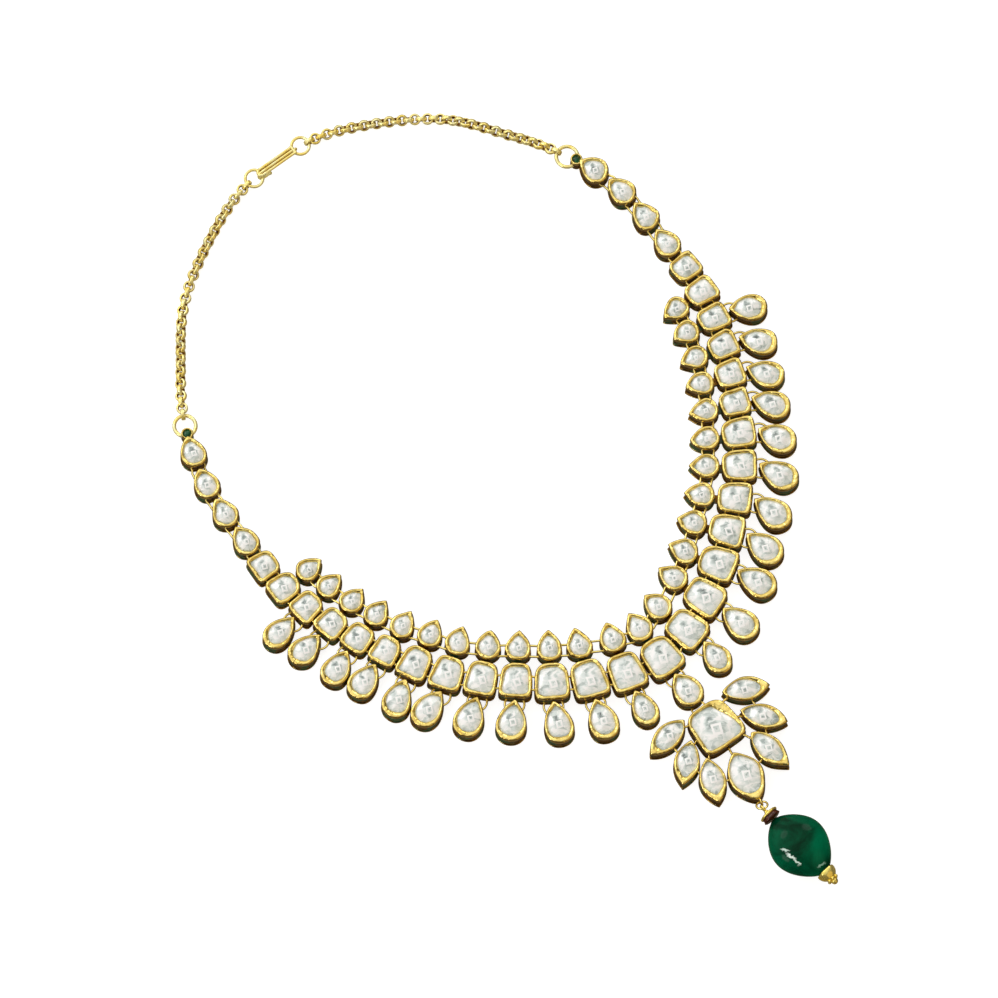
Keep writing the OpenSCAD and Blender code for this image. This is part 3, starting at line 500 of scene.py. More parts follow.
class Nodes:
    """Short ways to add nodes to the tree of a material or of the world."""

    def __init__(self, owner):
        owner.use_nodes = True
        self.owner, self.tree = owner, owner.node_tree

    def node(self, kind, inputs=(), **settings):
        """Adds a shader node, sets its properties, and fills its inputs given as {socket: value}."""
        new = self.tree.nodes.new("ShaderNode" + kind)
        for key, value in settings.items():
            setattr(new, key, value)
        self.fill(new, inputs)
        return new

    def fill(self, node, inputs):
        """Links or sets sockets of a node by name or number."""
        for key, value in dict(inputs).items():
            if isinstance(value, bpy.types.NodeSocket):
                self.tree.links.new(value, node.inputs[key])
            else:
                node.inputs[key].default_value = value

    def ramp(self, value, *stops):
        """Colour ramp with the stops (position, colour)."""
        new = self.node("ValToRGB", {"Fac": value})
        for _ in stops[2:]:
            new.color_ramp.elements.new(0.5)
        for element, (position, colour) in zip(new.color_ramp.elements, stops):
            element.position = position
            element.color = (*colour, 1)
        return new.outputs["Color"]

    def cloud(self, place, scale, detail=2.0, rough=0.5, distortion=0.0, out="Fac"):
        """Noise at a scale a metre."""
        return self.node("TexNoise", {"Vector": place, "Scale": scale, "Detail": detail,
                                      "Roughness": rough, "Distortion": distortion}).outputs[out]

    def between(self, value, low, high, to_low=0.0, to_high=1.0, soft=True):
        """Value carried from one range to another, in a soft or a straight step."""
        return self.node("MapRange", {"Value": value, "From Min": low, "From Max": high,
                                      "To Min": to_low, "To Max": to_high},
                         interpolation_type="SMOOTHSTEP" if soft else "LINEAR").outputs["Result"]

    def number(self, operation, a, b, clamp=False):
        """Sum, product or the like of two values."""
        new = self.node("Math", {0: a, 1: b}, operation=operation, use_clamp=clamp)
        return new.outputs["Value"]

    def vector(self, operation, a, b=(0, 0, 0), out="Vector"):
        """The same of two vectors, or of a vector and a scale."""
        key = "Scale" if operation == "SCALE" else 1
        return self.node("VectorMath", {0: a, key: b}, operation=operation).outputs[out]

    def turn(self, place, angle, centre=(0, 0, 0)):
        """Place turned about Z."""
        return self.node("VectorRotate", {"Vector": place, "Center": centre, "Angle": angle},
                         rotation_type="Z_AXIS").outputs["Vector"]

    def mix(self, share, a, b, way="MIX"):
        """Colour between two colours, or by way of ADD the first plus a share of the second."""
        return self.node("Mix", {"Factor": share, "A": a, "B": b},
                         data_type="RGBA", blend_type=way).outputs["Result"]

    def bump(self, height, strength, distance, under=None):
        """Bumped normal, over another one if given."""
        inputs = {"Height": height, "Strength": strength, "Distance": distance}
        if under is not None:
            inputs["Normal"] = under
        return self.node("Bump", inputs).outputs["Normal"]


class Finish(Nodes):
    """A material being put together, with its shader and the place on the table top."""

    def __init__(self, name):
        super().__init__(bpy.data.materials.new(name))
        self.shader = self.tree.nodes["Principled BSDF"]
        self.place = self.node("TexCoord").outputs["Object"]

    def surface(self, **inputs):
        """Fills the shader's own sockets, spaces written as underlines, and gives the material."""
        self.fill(self.shader, {key.replace("_", " "): value for key, value in inputs.items()})
        return self.owner


def gold_finish(name, dark, light, roughness, grain, creases=0.0, metallic=1.0):
    """Hand-burnished gold: colour drifts over a few millimetres, roughness follows a finer cloud, and
    a fine uneven bump over wider creases keeps the highlights from being straight."""
    gold = Finish(name)
    drift = gold.cloud(gold.place, 420.0, 3.0, 0.55)
    fine = gold.cloud(gold.place, 1900.0, 3.0, 0.6)
    folds = gold.bump(gold.cloud(gold.place, 640.0, 1.0, distortion=0.6), creases, 0.0006)
    return gold.surface(Base_Color=gold.ramp(drift, (0.32, dark), (0.68, light)), Metallic=metallic,
                        Roughness=gold.between(fine, 0.3, 0.7, roughness * 0.7, roughness * 1.4, False),
                        Normal=gold.bump(fine, grain, 0.0001, folds))


def wall_finish():
    """Walls under the rims: near-black brown gold as painted shade, the shade that falls on the walls between
    and under the cases, with patches of deep green enamel.
    """
    wall = Finish("enamel_and_painted_shade_wall")
    fine = wall.cloud(wall.place, 1500.0, 3.0, 0.6)
    # Painted shade: this near-black to dark brown metal colour stands in for the shade on the walls
    metal = wall.ramp(fine, (0.35, (0.02, 0.007, 0.001)), (0.7, (0.27, 0.12, 0.015)))
    enamel = wall.ramp(fine, (0.3, (0.003, 0.015, 0.006)), (0.75, (0.02, 0.1, 0.035)))
    share = wall.between(wall.cloud(wall.place, 300.0), 0.5, 0.58, soft=False)
    return wall.surface(Base_Color=wall.mix(share, metal, enamel), Roughness=0.3,
                        Metallic=wall.between(share, 0.0, 1.0, 0.85, 0.0, False),
                        Normal=wall.bump(fine, 0.4, 0.0001))


# Soft patches painted on a stone in its picture-aligned marks, where 1 is its mean half size: grey ones
# are painted reflections of dark surroundings, white ones are painted highlights. Middle, half
# width and height, then the distances, in those halves, of full strength and of none, and strength
PAINTED_GREY_REFLECTIONS = [(-0.22, 0.38, 0.3, 0.36, 0.3, 1.0, 0.3), (0.02, -0.04, 0.5, 0.3, 0.3, 1.1, 0.12)]
PAINTED_WHITE_HIGHLIGHTS = [(-0.58, 0.2, 0.16, 0.5, 0.2, 1.0, 0.3), (0.16, 0.46, 0.15, 0.4, 0.2, 1.0, 0.3),
                 (0.52, -0.02, 0.2, 0.36, 0.2, 1.0, 0.2), (-0.28, -0.55, 0.34, 0.22, 0.2, 1.0, 0.24)]
# Painted highlight on every stone: middle, turn and share of its height
HIGHLIGHT_X, HIGHLIGHT_Y, HIGHLIGHT_TURN, HIGHLIGHT_HIGH = 0.08, -0.12, -0.25, 0.85


def stone_finish():
    """Foiled flat stone: pale grey and white facets with thin lines between them. Painted over them in
    picture-aligned marks: a grey patch at the upper left as a painted reflection, a small bright
    four-sided painted highlight with a grey middle, white painted highlights, and painted shade under
    the rim that darkens the edge."""
    stone = Finish("foiled_stone")
    number, vector, between = stone.number, stone.vector, stone.between
    marks = stone.node("UVMap", uv_map="marks").outputs["UV"]

    # Third coordinate from the place on the necklace, so that no two stones are alike
    along = vector("DOT_PRODUCT", stone.place, (190.0, 310.0, 0.0), "Value")
    flat = stone.node("SeparateXYZ", {"Vector": marks}).outputs
    own = stone.node("CombineXYZ", {"X": flat["X"], "Y": flat["Y"], "Z": along}).outputs["Vector"]
    push = vector("SUBTRACT", stone.cloud(own, 1.3, out="Color"), (0.5, 0.5, 0.5))
    bent_own = vector("ADD", own, vector("SCALE", push, 0.9))
    cells = {"Vector": bent_own, "Scale": 1.5}
    facets = stone.node("TexVoronoi", cells, feature="F1").outputs["Color"]
    facet = stone.node("SeparateColor", {"Color": facets}).outputs["Red"]
    seam = stone.node("TexVoronoi", cells, feature="DISTANCE_TO_EDGE").outputs["Distance"]
    streaks = stone.cloud(vector("MULTIPLY", bent_own, (2.4, 1.3, 1.0)), 1.0, distortion=0.7)
    base = number("ADD", number("MULTIPLY", facet, 0.2), number("MULTIPLY", streaks, 0.72))
    warped = vector("ADD", marks, vector("SCALE", push, 0.75))

    def patch(x, y, wide, high, low, far, strength):
        """Soft patch by the distance from its middle, with its half width and height as 1."""
        scaled = vector("MULTIPLY", vector("ADD", warped, (-x, -y, 0)), (1 / wide, 1 / high, 0))
        return between(vector("LENGTH", scaled, out="Value"), low, far, strength, 0.0)

    # Painted highlight, a bright four-sided reflection of a square lamp: the larger of |x| and |y| about a
    # point right of and below the middle
    pushed = vector("ADD", marks, vector("SCALE", push, 0.12))
    turned_marks = stone.turn(pushed, HIGHLIGHT_TURN, (HIGHLIGHT_X, HIGHLIGHT_Y, 0))
    size = vector("ABSOLUTE", vector("ADD", turned_marks, (-HIGHLIGHT_X, -HIGHLIGHT_Y, 0)))
    half = stone.node("SeparateXYZ", {"Vector": size}).outputs
    square = number("MAXIMUM", half["X"], number("MULTIPLY", half["Y"], HIGHLIGHT_HIGH))
    outline = number("MULTIPLY", between(square, 0.215, 0.25, 1.0, 0.0),
                     between(square, 0.12, 0.155, 0.12, 1.0))
    # Painted darkening: the grey reflections, the highlight's grey middle, a soft grey reflection round it,
    # and painted shade under the rim that darkens the stone towards its edge
    painted_darkening = [patch(*row) for row in PAINTED_GREY_REFLECTIONS]
    painted_darkening += [between(square, 0.03, 0.06, 0.16, 0.0), between(square, 0.24, 0.6, 0.09, 0.0),
              between(vector("LENGTH", marks, out="Value"), 0.8, 1.15, 0.0, 0.2)]
    # Made lighter: thin seams between the facets, and the painted white highlights
    given = [between(seam, 0.0, 0.05, 0.16, 0.0)] + [patch(*row) for row in PAINTED_WHITE_HIGHLIGHTS]

    value = number("ADD", base, 0.07)
    for amount in painted_darkening:
        value = number("SUBTRACT", value, amount)
    for amount in given:
        value = number("ADD", value, amount)
    # The painted highlight's bright four-sided ring on top
    value = number("ADD", value, number("MULTIPLY", outline, 0.7), clamp=True)
    colour = stone.ramp(value, (0.0, (0.07, 0.085, 0.08)), (0.22, (0.34, 0.4, 0.385)),
                        (0.44, (0.7, 0.77, 0.75)), (0.72, (1.0, 1.0, 1.0)))
    return stone.surface(Base_Color=colour, Normal=stone.bump(base, 0.3, 0.0003), Roughness=0.1, IOR=1.7)


# Mean shift of the ragged edge of each tint and patch of painted light by the cloud that pushes it,
# in millimetres
TINT_EDGE_SHIFT = 0.8


def glass_finish(name, dark, light, roughness, scale, specular=0.3, tints_and_painted_light=()):
    """Coloured stone or bead: colour drifts in soft clouds under a glossy surface. Tints and painted
    light are patches of colour laid over it, at places in millimetres, each with its half width along
    and across the picture, turn, colour, share and the scale of its ragged edge."""
    glass = Finish(name)
    colour = glass.ramp(glass.cloud(glass.place, scale, 4.0, 0.6, 0.8), (0.36, dark), (0.66, light))
    # Tints and painted light, mixed over the colour one after another
    for middle, half, turn, tint, share, ragged in tints_and_painted_light:
        push = glass.vector("SCALE", glass.cloud(glass.place, ragged, out="Color"), 2 * TINT_EDGE_SHIFT * MM)
        moved = glass.vector("ADD", glass.place, push)
        away = glass.vector("ADD", moved, [-(v + TINT_EDGE_SHIFT) * MM for v in middle])
        flat = glass.turn(away, -AZIMUTH - turn)
        scaled = glass.vector("MULTIPLY", flat, (1 / half[0] / MM, 1 / half[1] / MM, 0))
        much = glass.between(glass.vector("LENGTH", scaled, out="Value"), 0.3, 1.0, share, 0.0)
        colour = glass.mix(much, colour, (*tint, 1))
    fine = glass.cloud(glass.place, scale * 2.6)
    return glass.surface(Base_Color=colour, Normal=glass.bump(fine, 0.25, 0.0004), Roughness=roughness,
                         IOR=1.58, Specular_IOR_Level=specular)


RIM_GOLD = gold_finish("rim_gold", (0.66, 0.46, 0.1), (1.0, 0.8, 0.27), 0.15, 0.35, 0.45)
WIRE_GOLD = gold_finish("wire_gold", (0.86, 0.66, 0.18), (1.0, 0.86, 0.34), 0.14, 0.15)
CHAIN_GOLD = gold_finish("chain_gold", (1.0, 0.76, 0.16), (1.0, 0.95, 0.5), 0.2, 0.3, 0.25, 0.58)
# Painted shade: near-black brown gold for the insides of the chain's links and the slots of the hook, where
# shade falls
PAINTED_SHADE_GOLD = gold_finish("painted_shade_gold", (0.09, 0.028, 0.003), (0.28, 0.11, 0.012), 0.3, 0.3, 0.0, 0.8)
CAP_GOLD = gold_finish("cap_gold", (0.95, 0.7, 0.12), (1.0, 0.86, 0.26), 0.2, 0.5, 0.2, 0.8)
WALL = wall_finish()
STONE = stone_finish()
END_GREEN = glass_finish("small_green_stone", (0.0, 0.02, 0.006), (0.005, 0.13, 0.045), 0.08, 900.0)
RONDELLE_DARK = glass_finish("dark_red_band", (0.015, 0.002, 0.001), (0.11, 0.024, 0.008), 0.15, 900.0)
CASE_FINISHES = [RIM_GOLD, WALL]

# Rows


def make_stone(case, name, replaces, facets=7, lift=1.0, finish=STONE, slot="foiled_stone"):
    """A single stone as a piece of its own."""
    stone = Piece()
    add_stone(stone, case, facets, lift)
    stone.make(name, [finish], [replaces], slot)


def add_solder(piece, i, side):
    """Flat bar of solder from square i to its inner pear: four corners at each of two heights."""
    low = unit_size(i)[1] / 2 - SOLDER_SUNK
    high = low + INNER_GAP + 2 * SOLDER_SUNK
    corners = [(x * SOLDER_HALF_W, y) for x, y in ((-1, low), (1, low), (1, high), (-1, high))]
    flat = in_unit(i, side)(np.array(corners))
    points = np.vstack([np.column_stack([flat, np.full(4, z)]) for z in SOLDER_Z])
    # Finish 1 is the dark wall: painted shade between the square and its inner pear
    piece.add(points, [band(2, 4)] + ends(2, 4), 1, smooth=False)


def add_square_unit(piece, i, side):
    """Square, its inner pear and the solder between them."""
    add_case(piece, square_case(i, side))
    add_case(piece, inner_case(i, side))
    add_solder(piece, i, side)


def boss_case(side):
    """Small round case on the last pear's tip, more even than the others."""
    middle = at(BOSS_S)
    case = Case("round", BOSS_D, BOSS_D, lambda p: (p + middle) * [side, 1], 600 + (side < 0), height=BOSS_H)
    case.wobble, case.lip = case.wobble * BOSS_UNEVEN, case.lip * BOSS_UNEVEN
    return case


centre = Piece()
add_square_unit(centre, 0, 1)
centre.make("centre_case", CASE_FINISHES, ["centre_setting"], "gold")

for side, word in ((1, "right"), (-1, "left")):
    row, row_stones, inner_stones, drops, drop_stones = (Piece() for _ in range(5))
    for i in range(1, INNERS + 1):
        add_square_unit(row, i, side)
        add_stone(inner_stones, inner_case(i, side), facets=5)
    for i in range(1, LAST_UNIT + 1):
        unit = square_case(i, side) if i <= LAST_SQUARE else end_pear(i, side)
        add_stone(row_stones, unit)
        if i > INNERS:
            add_case(row, unit)
    add_case(row, boss_case(side))
    for k in range(len(DROPS)):
        add_case(drops, drop_case(k, side))
        add_stone(drop_stones, drop_case(k, side), facets=6)
        a = angles(40)
        loop = in_drop(k, side)(RING_R * np.stack([np.cos(a), np.sin(a)], -1))
        tube(drops, np.column_stack([loop, np.full(40, RING_Z)]), DROP_RING_WIRE_R, closed=True, finish=2)
    row.make("row_cases_" + word, CASE_FINISHES, ["row_" + word], "gold")
    drops.make("drop_cases_" + word, CASE_FINISHES + [WIRE_GOLD], ["drops_" + word], "gold")
    row_stones.make("row_polki_" + word, [STONE], ["row_stones_" + word], "foiled_stone")
    inner_stones.make("inner_polki_" + word, [STONE], ["inner_stones_" + word], "foiled_stone")
    drop_stones.make("drop_polki_" + word, [STONE], ["drop_stones_" + word], "foiled_stone")

make_stone(square_case(0, 1), "centre_stone_cut", "centre_stone")
make_stone(inner_case(0, 1), "centre_inner_stone_cut", "centre_inner_stone", facets=5)

# Row wires


def wire_at(row, i, y):
    """Place of a row wire in unit i."""
    return turned(np.array([0, row * inner_y(i) + y]), unit_turn(i)) + at(STATIONS[i])


def wire_path(row, y):
    """Right half of a row wire: straight through each case, bending in the gaps."""
    last = (LAST_UNIT, INNERS)[row]
    path = []
    for i in range(last + 1):
        reach = WIRE_REACH[row] * (INNER_W * inner_share(i) if row else unit_size(i)[0])
        a, b = wire_at(row, max(i - 1, 0), y), wire_at(row, min(i + 1, last), y)
        turn = math.atan2(b[1] - a[1], b[0] - a[0]) if i else 0.0
        stops = [reach] if i == 0 else [-reach, 0] if i == last else [-reach, reach]
        path += [wire_at(row, i, y) + turned(np.array([x, 0.0]), turn) for x in stops]
    return np.array(path)


for row, places in enumerate(((-MAIN_WIRE_Y, MAIN_WIRE_Y), (-INNER_WIRE_BASE, INNER_WIRE_TIP))):
    wires = Piece()
    for y in places:
        half = wire_path(row, y)
        path = np.vstack([half[::-1] * [-1, 1], half])
        tube(wires, np.column_stack([path, np.full(len(path), WIRE_Z)]), ROW_WIRE_R)
    name = ("main_wires", "inner_wires")[row]
    wires.make(name + "_round", [WIRE_GOLD], [name], "gold")

# Pendant

link = Piece()
link_case = Case("pear", LINK_L, LINK_W, lambda p: p + [0, LINK_TOP - LINK_L / 2], 21)
add_case(link, link_case)
for y, r in ((LINK_TOP - TIP_IN, RING_R), (LINK_RING_Y, LINK_RING_R)):
    ring(link, [0, y, RING_Z], r, WIRE_D / 2)
link.make("link_case", CASE_FINISHES, ["link_setting"], "gold")
make_stone(link_case, "link_polki", "link_stone", facets=6)

rosette = Piece()

# Cut of the middle seat as a direction and a distance, ends of the bars as shares of the way to the
# petal and of the petal, and the eye's step past the tip
ROSETTE_CUT = (0.9, 0.436, 3.75)
BAR_START, BAR_END, EYE_OUT = 0.7, 0.25, 0.5


def rosette_case():
    """Case of the rosette's middle, with more gold at its upper right."""
    case = Case("square", ROSETTE_W, ROSETTE_W, lambda p: p + [0, ROSETTE_Y], 22)
    case.cut = ROSETTE_CUT
    return case


def add_rosette_bar(start, end):
    """Round bar between two places at the height of the wires."""
    steps = np.linspace(0, 1, 8)[:, None]
    tube(rosette, np.column_stack([start + (end - start) * steps, np.full(8, WIRE_Z)]), BAR_R)


add_case(rosette, rosette_case())
for k in range(len(PETALS)):
    add_case(rosette, petal_case(k))
    add_rosette_bar(np.array(PETALS[k][:2]) * ROSETTE_W * BAR_START + [0, ROSETTE_Y], petal_point(k, BAR_END))
    if k:
        add_rosette_bar(petal_point(k - 1, 0.5), petal_point(k, 0.5))
eye_at = petal_point(MAIN_PETAL, 1) + EYE_OUT * petal_direction(MAIN_PETAL)
ring(rosette, [*eye_at, EYE_Z], LOOP_R, LOOP_WIRE / 2, [*petal_direction(MAIN_PETAL), 0], UP)
rosette.make("rosette_case", CASE_FINISHES, ["rosette"], "gold")
make_stone(rosette_case(), "rosette_polki", "rosette_stone", facets=9)
for k in range(len(PETALS)):
    make_stone(petal_case(k), "petal_polki_%d" % (k + 1), "petal_stone_%d" % (k + 1), facets=6)

# Bead

BEAD_Z = BEAD_T / 2
LOOP_STEP = np.array([-0.8, -2])
bead_dir = np.array([math.cos(BEAD_TURN), math.sin(BEAD_TURN), 0])
bead_side = np.array([-math.sin(BEAD_TURN), math.cos(BEAD_TURN), 0])
loop_middle = np.array([*(eye_at + LOOP_STEP), BEAD_Z])
PIN_NECK, BEAD_GAP, PIN_IN_CAP = 0.55, 0.1, 0.5
RONDELLE_AT = LOOP_R + PIN_NECK
BEAD_AT = RONDELLE_AT + RONDELLE_T + BEAD_GAP
CAP_AT = BEAD_AT + BEAD_L + BEAD_GAP
BEAD_HOLE, BEAD_NECK, BEAD_ROWS, BEAD_SIDES = 0.5, 0.6, 40, 64

run, rise = np.hypot(*LOOP_STEP), BEAD_Z - EYE_Z
reach = math.hypot(run, rise)
along = np.array([*LOOP_STEP, rise]) / reach
across = np.array([-LOOP_STEP[1], LOOP_STEP[0], 0]) / run
jump = Piece()
ring(jump, [*(eye_at + LOOP_STEP / 2), (EYE_Z + BEAD_Z) / 2], reach / 2, LOOP_WIRE / 2, along, across)
jump.make("pendant_jump_ring", [WIRE_GOLD], ["pendant_ring"], "gold")


def about_axis(distance, across, up):
    """Points by their distance along the bead's axis from the loop's middle, and to its side and up."""
    return loop_middle + distance[..., None] * bead_dir + across[..., None] * bead_side + up[..., None] * UP


def lathe(piece, profile, finishes=0, sides=48, lobes=0.0):
    """Turned shape about the bead's axis from (distance, radius) pairs, closed by flat ends. Six lobes
    take a share off the radius: r (1 - share |sin 3a|^1.5)."""
    distance, radius = np.array(profile, float).T[..., None]
    a = angles(sides)[None]
    r = radius * (1 - lobes * np.abs(np.sin(3 * a)) ** 1.5)
    steps = np.broadcast_to(finishes, len(profile) - 1)
    finish = np.concatenate([np.repeat(steps, sides), [steps[0], steps[-1]]])
    points = about_axis(distance, r * np.cos(a), r * np.sin(a))
    piece.add(points, [band(len(profile), sides)] + ends(len(profile), sides), finish)


# Three turns of wire over the pin: start, step, gap to the pin and radius of the wire
WRAP_START, WRAP_STEP, WRAP_GAP, WRAP_R = 0.12, 0.2, 0.1, 0.14
pin = Piece()
ring(pin, loop_middle, LOOP_R, LOOP_WIRE / 2, bead_dir, UP)
for turn in range(3):
    middle = loop_middle + bead_dir * (LOOP_R + WRAP_START + WRAP_STEP * turn)
    ring(pin, middle, PIN_D / 2 + WRAP_GAP, WRAP_R, bead_side, UP, steps=24, sides=8)
lathe(pin, [(LOOP_R, PIN_D / 2), (CAP_AT + PIN_IN_CAP, PIN_D / 2)], sides=16)

# Cap as a cup about the bead's end: distance from its seat and share of its radius
CAP_PROFILE = [(0.02, 0.5), (-0.5, 0.93), (-0.6, 1), (-0.4, 1.03), (0.1, 1.02), (0.6, 0.95), (1.1, 0.82),
               (1.6, 0.6)]
CAP_TOP = CAP_AT + CAP_L
lathe(pin, [(CAP_AT + d, share * CAP_D / 2) for d, share in CAP_PROFILE]
      + [(CAP_TOP, BALL_D / 2), (CAP_TOP + 0.12, 0.55)], lobes=0.05)
ball(pin, loop_middle + bead_dir * (CAP_TOP + BALL_D * 0.3), BALL_D / 2)
for a in np.radians(np.arange(0, 360, 60)):
    out = (BALL_D / 2 + GRAIN_D * 0.3) * (math.cos(a) * UP + math.sin(a) * bead_side)
    ball(pin, loop_middle + bead_dir * (CAP_TOP - GRAIN_D * 0.1) + out, GRAIN_D / 2)
pin.make("bead_pin_cap", [CAP_GOLD], ["bead_pin"], "gold")

# Rondelle: distance from its first face, share of its radius, and finish of the step that follows
RONDELLE_PROFILE = [(0, 0.25, 0), (0, 0.68, 0), (0.1, 0.84, 0), (0.3, 1, 0), (0.62, 1, 0), (0.72, 0.93, 1),
                    (1.0, 0.86, 1), (1.3, 0.9, 1), (1.65, 0.98, 1), (1.85, 0.86, 1), (RONDELLE_T, 0.68, 1),
                    (RONDELLE_T, 0.25, 1)]
ruby = Piece()
lathe(ruby, [(RONDELLE_AT + d, share * RONDELLE_D / 2) for d, share, _ in RONDELLE_PROFILE],
      [step for *_, step in RONDELLE_PROFILE[:-1]])
ruby.make("rondelle_turned", [CAP_GOLD, RONDELLE_DARK], ["rondelle"], "rondelle")


def add_bead(piece):
    """Tumbled bead: half width sin(pi u)^0.62 (1 + 0.05 cos(pi u)) along its length, wider than
    thick, with low bumps, and with its drilled hole closed in at both ends."""
    u = ((1 - np.cos(math.pi * np.linspace(0.03, 0.97, BEAD_ROWS))) / 2)[:, None]
    a = angles(BEAD_SIDES)[None]
    half = np.sin(math.pi * u) ** 0.62 * (1 + 0.05 * np.cos(math.pi * u))
    bumps = 1 - 0.012 * (1 + np.cos(2 * a + 5 * u)) - 0.008 * (1 + np.sin(3 * a - 7 * u))
    wide = np.maximum(half * BEAD_W / 2 * bumps, BEAD_NECK)
    thick = np.maximum(half * BEAD_T / 2 * bumps, BEAD_NECK)
    body = about_axis(BEAD_AT + u * BEAD_L, np.cos(a) * wide, np.sin(a) * thick)
    mouths = BEAD_AT + np.array([[0.004], [0.996]]) * BEAD_L
    first, last = about_axis(mouths, BEAD_HOLE * np.cos(a), BEAD_HOLE * np.sin(a))
    points = np.concatenate([first[None], body, last[None]])
    piece.add(points, [band(len(points), BEAD_SIDES, closed_rows=True)])


bead_middle = loop_middle + (BEAD_AT + BEAD_L / 2) * bead_dir


def on_bead(right, up):
    """Point of the bead by its place in the picture, in millimetres from its middle."""
    return [*(bead_middle[:2] + right * PICTURE_RIGHT + up * PICTURE_UP), BEAD_T]


# On the bead, in order: a lighter green painted glow at the right, a lighter green band along the
# top, three pale streaks of painted highlight at the lower left and a pale teal painted highlight at
# the lower right. Each: place in the picture from the bead's middle, half length and width, turn in
# degrees, colour, share and scale of the ragged edge
BEAD_TINTS_AND_PAINTED_LIGHT = [((4.9, -0.6), (3.0, 6.8), -14, (0.0, 0.18, 0.08), 0.6, 200.0),
         ((0.5, 5.2), (6.0, 1.5), -22, (0.0, 0.12, 0.05), 0.5, 200.0),
         ((-3.5, -2.0), (1.5, 0.42), -14, (0.62, 0.8, 0.72), 0.95, 1100.0),
         ((-2.2, -3.5), (1.9, 0.45), -34, (0.78, 0.92, 0.86), 1.0, 1100.0),
         ((-0.7, -4.8), (1.5, 0.42), -36, (0.7, 0.88, 0.8), 1.0, 1100.0),
         ((4.9, -5.1), (1.5, 0.5), 38, (0.3, 0.55, 0.45), 0.9, 1100.0)]
tints_and_painted_light = [(on_bead(*place), half, math.radians(turn), *rest) for place, half, turn, *rest in BEAD_TINTS_AND_PAINTED_LIGHT]
EMERALD = glass_finish("deep_green_bead", (0.0, 0.026, 0.01), (0.0, 0.1, 0.042), 0.05, 110.0, 0.05, tints_and_painted_light)
bead = Piece()
add_bead(bead)
bead.make("emerald_tumbled", [EMERALD], ["emerald_bead"], "emerald")

# Ends, chains and clasp

LINK_SEAT = 0.33
END_RING_S = BOSS_S + END_RING_R
CLASP_RING_S = HALF_LENGTH - CLASP_HALF
FIRST_LINK_S = END_RING_S + END_RING_R + LINK_SEAT
LAST_LINK_S = CLASP_RING_S - CLASP_RING_R - LINK_SEAT
LINK_COUNT = 2 * round((LAST_LINK_S - FIRST_LINK_S) / CHAIN_PITCH / 2) + 1
# Steps round a link and sides of its band, the power that squares the band, and the cosine under
# which a side faces the hole and gets painted shade, near-black gold inside the link where shade falls
LINK_STEPS, LINK_SIDES, BAND_POWER, BAND_SHADE = 28, 14, 0.6, -0.25
CLASP_Z = LOW_Z + CLASP_LIFT
CLASP_Y = at(CLASP_RING_S)[1]


def add_chain(piece, side):
    """Round links standing and lying in turn, each a ring of wide band with rounded edges: all rings
    are worked out together as links by steps by sides."""
    k = np.arange(LINK_COUNT)
    s = FIRST_LINK_S + k * (LAST_LINK_S - FIRST_LINK_S) / (LINK_COUNT - 1)
    place = np.array([at(v) for v in s])
    turn = np.array([heading(v) for v in s])
    swing = CHAIN_ROLL * np.sin(TAU * k / (LINK_COUNT - 1))
    roll = swing + np.where(k % 2 == 0, math.pi / 2, 0)
    height = (CHAIN_R + BAND_THICK) * np.cos(swing) + BAND_LIFT * BAND_WIDE * np.abs(np.sin(swing))
    middle = np.column_stack([place * [side, 1], height])
    first = np.column_stack([np.cos(turn) * side, np.sin(turn), 0 * turn])
    second = np.column_stack([-np.sin(turn) * np.cos(roll) * side, np.cos(turn) * np.cos(roll), np.sin(roll)])
    axis = np.cross(first, second)[:, None, None]
    a, b = angles(LINK_STEPS)[:, None], angles(LINK_SIDES)
    out = (np.cos(a) * first[:, None] + np.sin(a) * second[:, None])[:, :, None]
    thick = BAND_THICK * bent(np.cos(b), BAND_POWER)[:, None]
    wide = BAND_WIDE * bent(np.sin(b), BAND_POWER)[:, None]
    points = middle[:, None, None] + (CHAIN_R + thick) * out + wide * axis
    quads = band(LINK_STEPS, LINK_SIDES, closed_rows=True)
    faces = (quads + (k * LINK_STEPS * LINK_SIDES)[:, None, None]).reshape(-1, 4)
    # Sides facing the hole take finish 1, painted shade
    inner = np.cos(b[faces[:, 0] % LINK_SIDES] + math.pi / LINK_SIDES) < BAND_SHADE
    piece.add(points, [faces], inner.astype(int))


RINGS = (("end_ring_", END_RING_S, LOW_Z, END_RING_R, END_RING_WIRE),
         ("clasp_ring_", CLASP_RING_S, CLASP_Z, CLASP_RING_R, CLASP_RING_WIRE))
for side, word in ((1, "right"), (-1, "left")):
    chain = Piece()
    add_chain(chain, side)
    chain.make("chain_links_" + word, [CHAIN_GOLD, PAINTED_SHADE_GOLD], ["chain_" + word], "gold")
    for name, s, z, r, wire in RINGS:
        loop = Piece()
        ring(loop, [*(at(s) * [side, 1]), z], r, wire * END_RING_SWELL, steps=56, sides=14)
        loop.make(name + "round_" + word, [CHAIN_GOLD], [name + word], "gold")
    names = "end_stone_cut_" + word, "end_stone_" + word
    make_stone(boss_case(side), *names, 6, 0.5, END_GREEN, "green_glass")

hook = Piece()
hook_r = HOOK_WIRE / 2
hook_end = CLASP_HALF - CLASP_RING_R
hook_rise = CLASP_RING_WIRE / 2 + hook_r + HOOK_GAP
hook_z = CLASP_Z + hook_rise
tilt = math.acos(hook_rise / HOOK_BEND)
# Wires of the eye, the thin dark tubes of painted shade in the slots, the bar at the eye and the bow as
# shares of the hook's
EYE_SHARE, SLOT_SHARE, BAR_SHARE, BOW_SHARE = 0.85, 0.4, 1.2, 1.1
RIGHT = np.array([1.0, 0, 0])


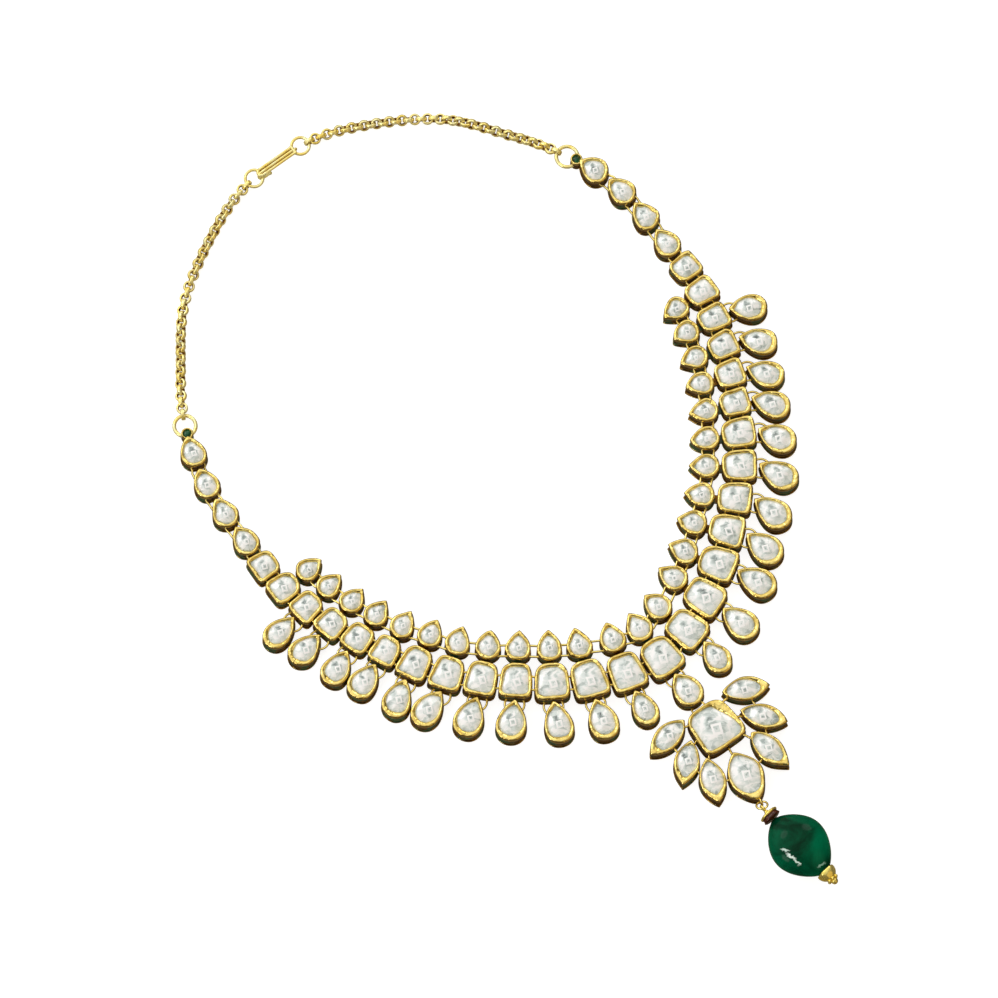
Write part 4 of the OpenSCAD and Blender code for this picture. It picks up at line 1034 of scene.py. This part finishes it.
def flat_wire(x, y, share=1.0, finish=0):
    """Wire of the hook at its height, by its places along the hook and across it from the middle."""
    path = np.stack(np.broadcast_arrays(x, y + CLASP_Y, hook_z), -1)
    tube(hook, path, hook_r * share, finish=finish)


eye_r = hook_r * EYE_SHARE
ring(hook, [hook_end, CLASP_Y, CLASP_Z], CLASP_RING_WIRE / 2 + HOOK_GAP + eye_r, eye_r, RIGHT, UP)
x = np.linspace(-hook_end, hook_end, 12)
for shift in (-HOOK_PITCH, 0, HOOK_PITCH):
    flat_wire(x, shift)
# Thin tubes in the painted shade finish fill the slots between the wires, where shade falls
for shift in (-HOOK_PITCH / 2, HOOK_PITCH / 2):
    flat_wire(x, shift, SLOT_SHARE, 1)
flat_wire(hook_end, np.linspace(-1, 1, 10) * (HOOK_PITCH + hook_r), BAR_SHARE)
bow = math.pi * (0.5 + np.arange(17) / 16)
flat_wire(HOOK_PITCH * np.cos(bow) - hook_end, HOOK_PITCH * np.sin(bow), BOW_SHARE)
down = np.array([0, -math.sin(tilt), -math.cos(tilt)])
a = np.linspace(0, math.pi, 24)[:, None]
bend = [-hook_end, CLASP_Y, hook_z] + HOOK_BEND * (down * (1 - np.cos(a)) - RIGHT * np.sin(a))
back = bend[-1] + np.linspace(0.1, 1, 6)[:, None] * HOOK_RETURN * RIGHT
tube(hook, np.vstack([bend, back]), hook_r, np.cross(RIGHT, down))
ball(hook, back[-1], HOOK_BALL / 2)
hook.make("clasp_hook_wires", [CHAIN_GOLD, PAINTED_SHADE_GOLD], ["clasp_hook"], "gold")

# Stage and light

TABLE_HALF, TABLE_Z = 2.0, -0.00003
corners = [(x * TABLE_HALF, y * TABLE_HALF, TABLE_Z) for x, y in ((-1, -1), (1, -1), (1, 1), (-1, 1))]
floor_mesh = bpy.data.meshes.new("table_top")
floor_mesh.from_pydata(corners, [], [(0, 1, 2, 3)])
floor = bpy.data.objects.new("table_top", floor_mesh)
bpy.context.scene.collection.objects.link(floor)
table = Finish("white_table")
paper = table.ramp(table.cloud(table.place, 60.0), (0.0, (0.38, 0.38, 0.38)), (1.0, (0.42, 0.42, 0.42)))
floor_mesh.materials.append(table.surface(Base_Color=paper, Roughness=0.9, Specular_IOR_Level=0.1,
                                          Emission_Color=(1, 1, 1, 1), Emission_Strength=0.85))
floor.visible_glossy = False

# Soft studio light from one sky: a broad glow overhead and to the upper left of the picture, a weak
# warm one at the lower right, three small bright windows and a brown reflection of the table below
world = bpy.data.worlds.new("studio")
bpy.context.scene.world = world
sky = Nodes(world)
direction = sky.node("TexCoord").outputs["Generated"]


def glow(right, up, height, *stops):
    """Colour of the sky by the cosine of the angle to a direction given on the picture's axes."""
    axis = np.array([*(right * PICTURE_RIGHT + up * PICTURE_UP), height])
    return sky.ramp(sky.vector("DOT_PRODUCT", direction, axis / np.linalg.norm(axis), "Value"), *stops)


DARK, WHITE = (0.0, 0.0, 0.0), (1.0, 1.0, 1.0)
# Windows by their direction and strength. Each is added four times over, as a colour stops at 1
WINDOWS = ((-0.62, -0.55, 0.5, 1.0), (-0.58, 0.42, 0.68, 0.7), (0.3, 0.75, 0.55, 0.6))
light = glow(-0.45, 0.45, 0.77, (0.0, (0.07, 0.055, 0.04)), (0.3, (0.16, 0.14, 0.11)),
             (0.6, (0.6, 0.58, 0.55)), (0.85, (1.0, 0.99, 0.97)), (1.0, WHITE))
light = sky.mix(1.0, light, glow(0.75, -0.5, 0.45, (0.8, DARK), (0.95, (0.5, 0.36, 0.16))), "ADD")
light = sky.mix(1.0, light, glow(0, 0, -1, (0.3, DARK), (0.95, (0.1, 0.075, 0.05))), "ADD")
for *toward, strength in np.repeat(WINDOWS, 4, axis=0).tolist():
    light = sky.mix(strength, light, glow(*toward, (0.978, DARK), (0.988, WHITE)), "ADD")
sky.fill(sky.tree.nodes["Background"], {"Color": light, "Strength": 1.15})
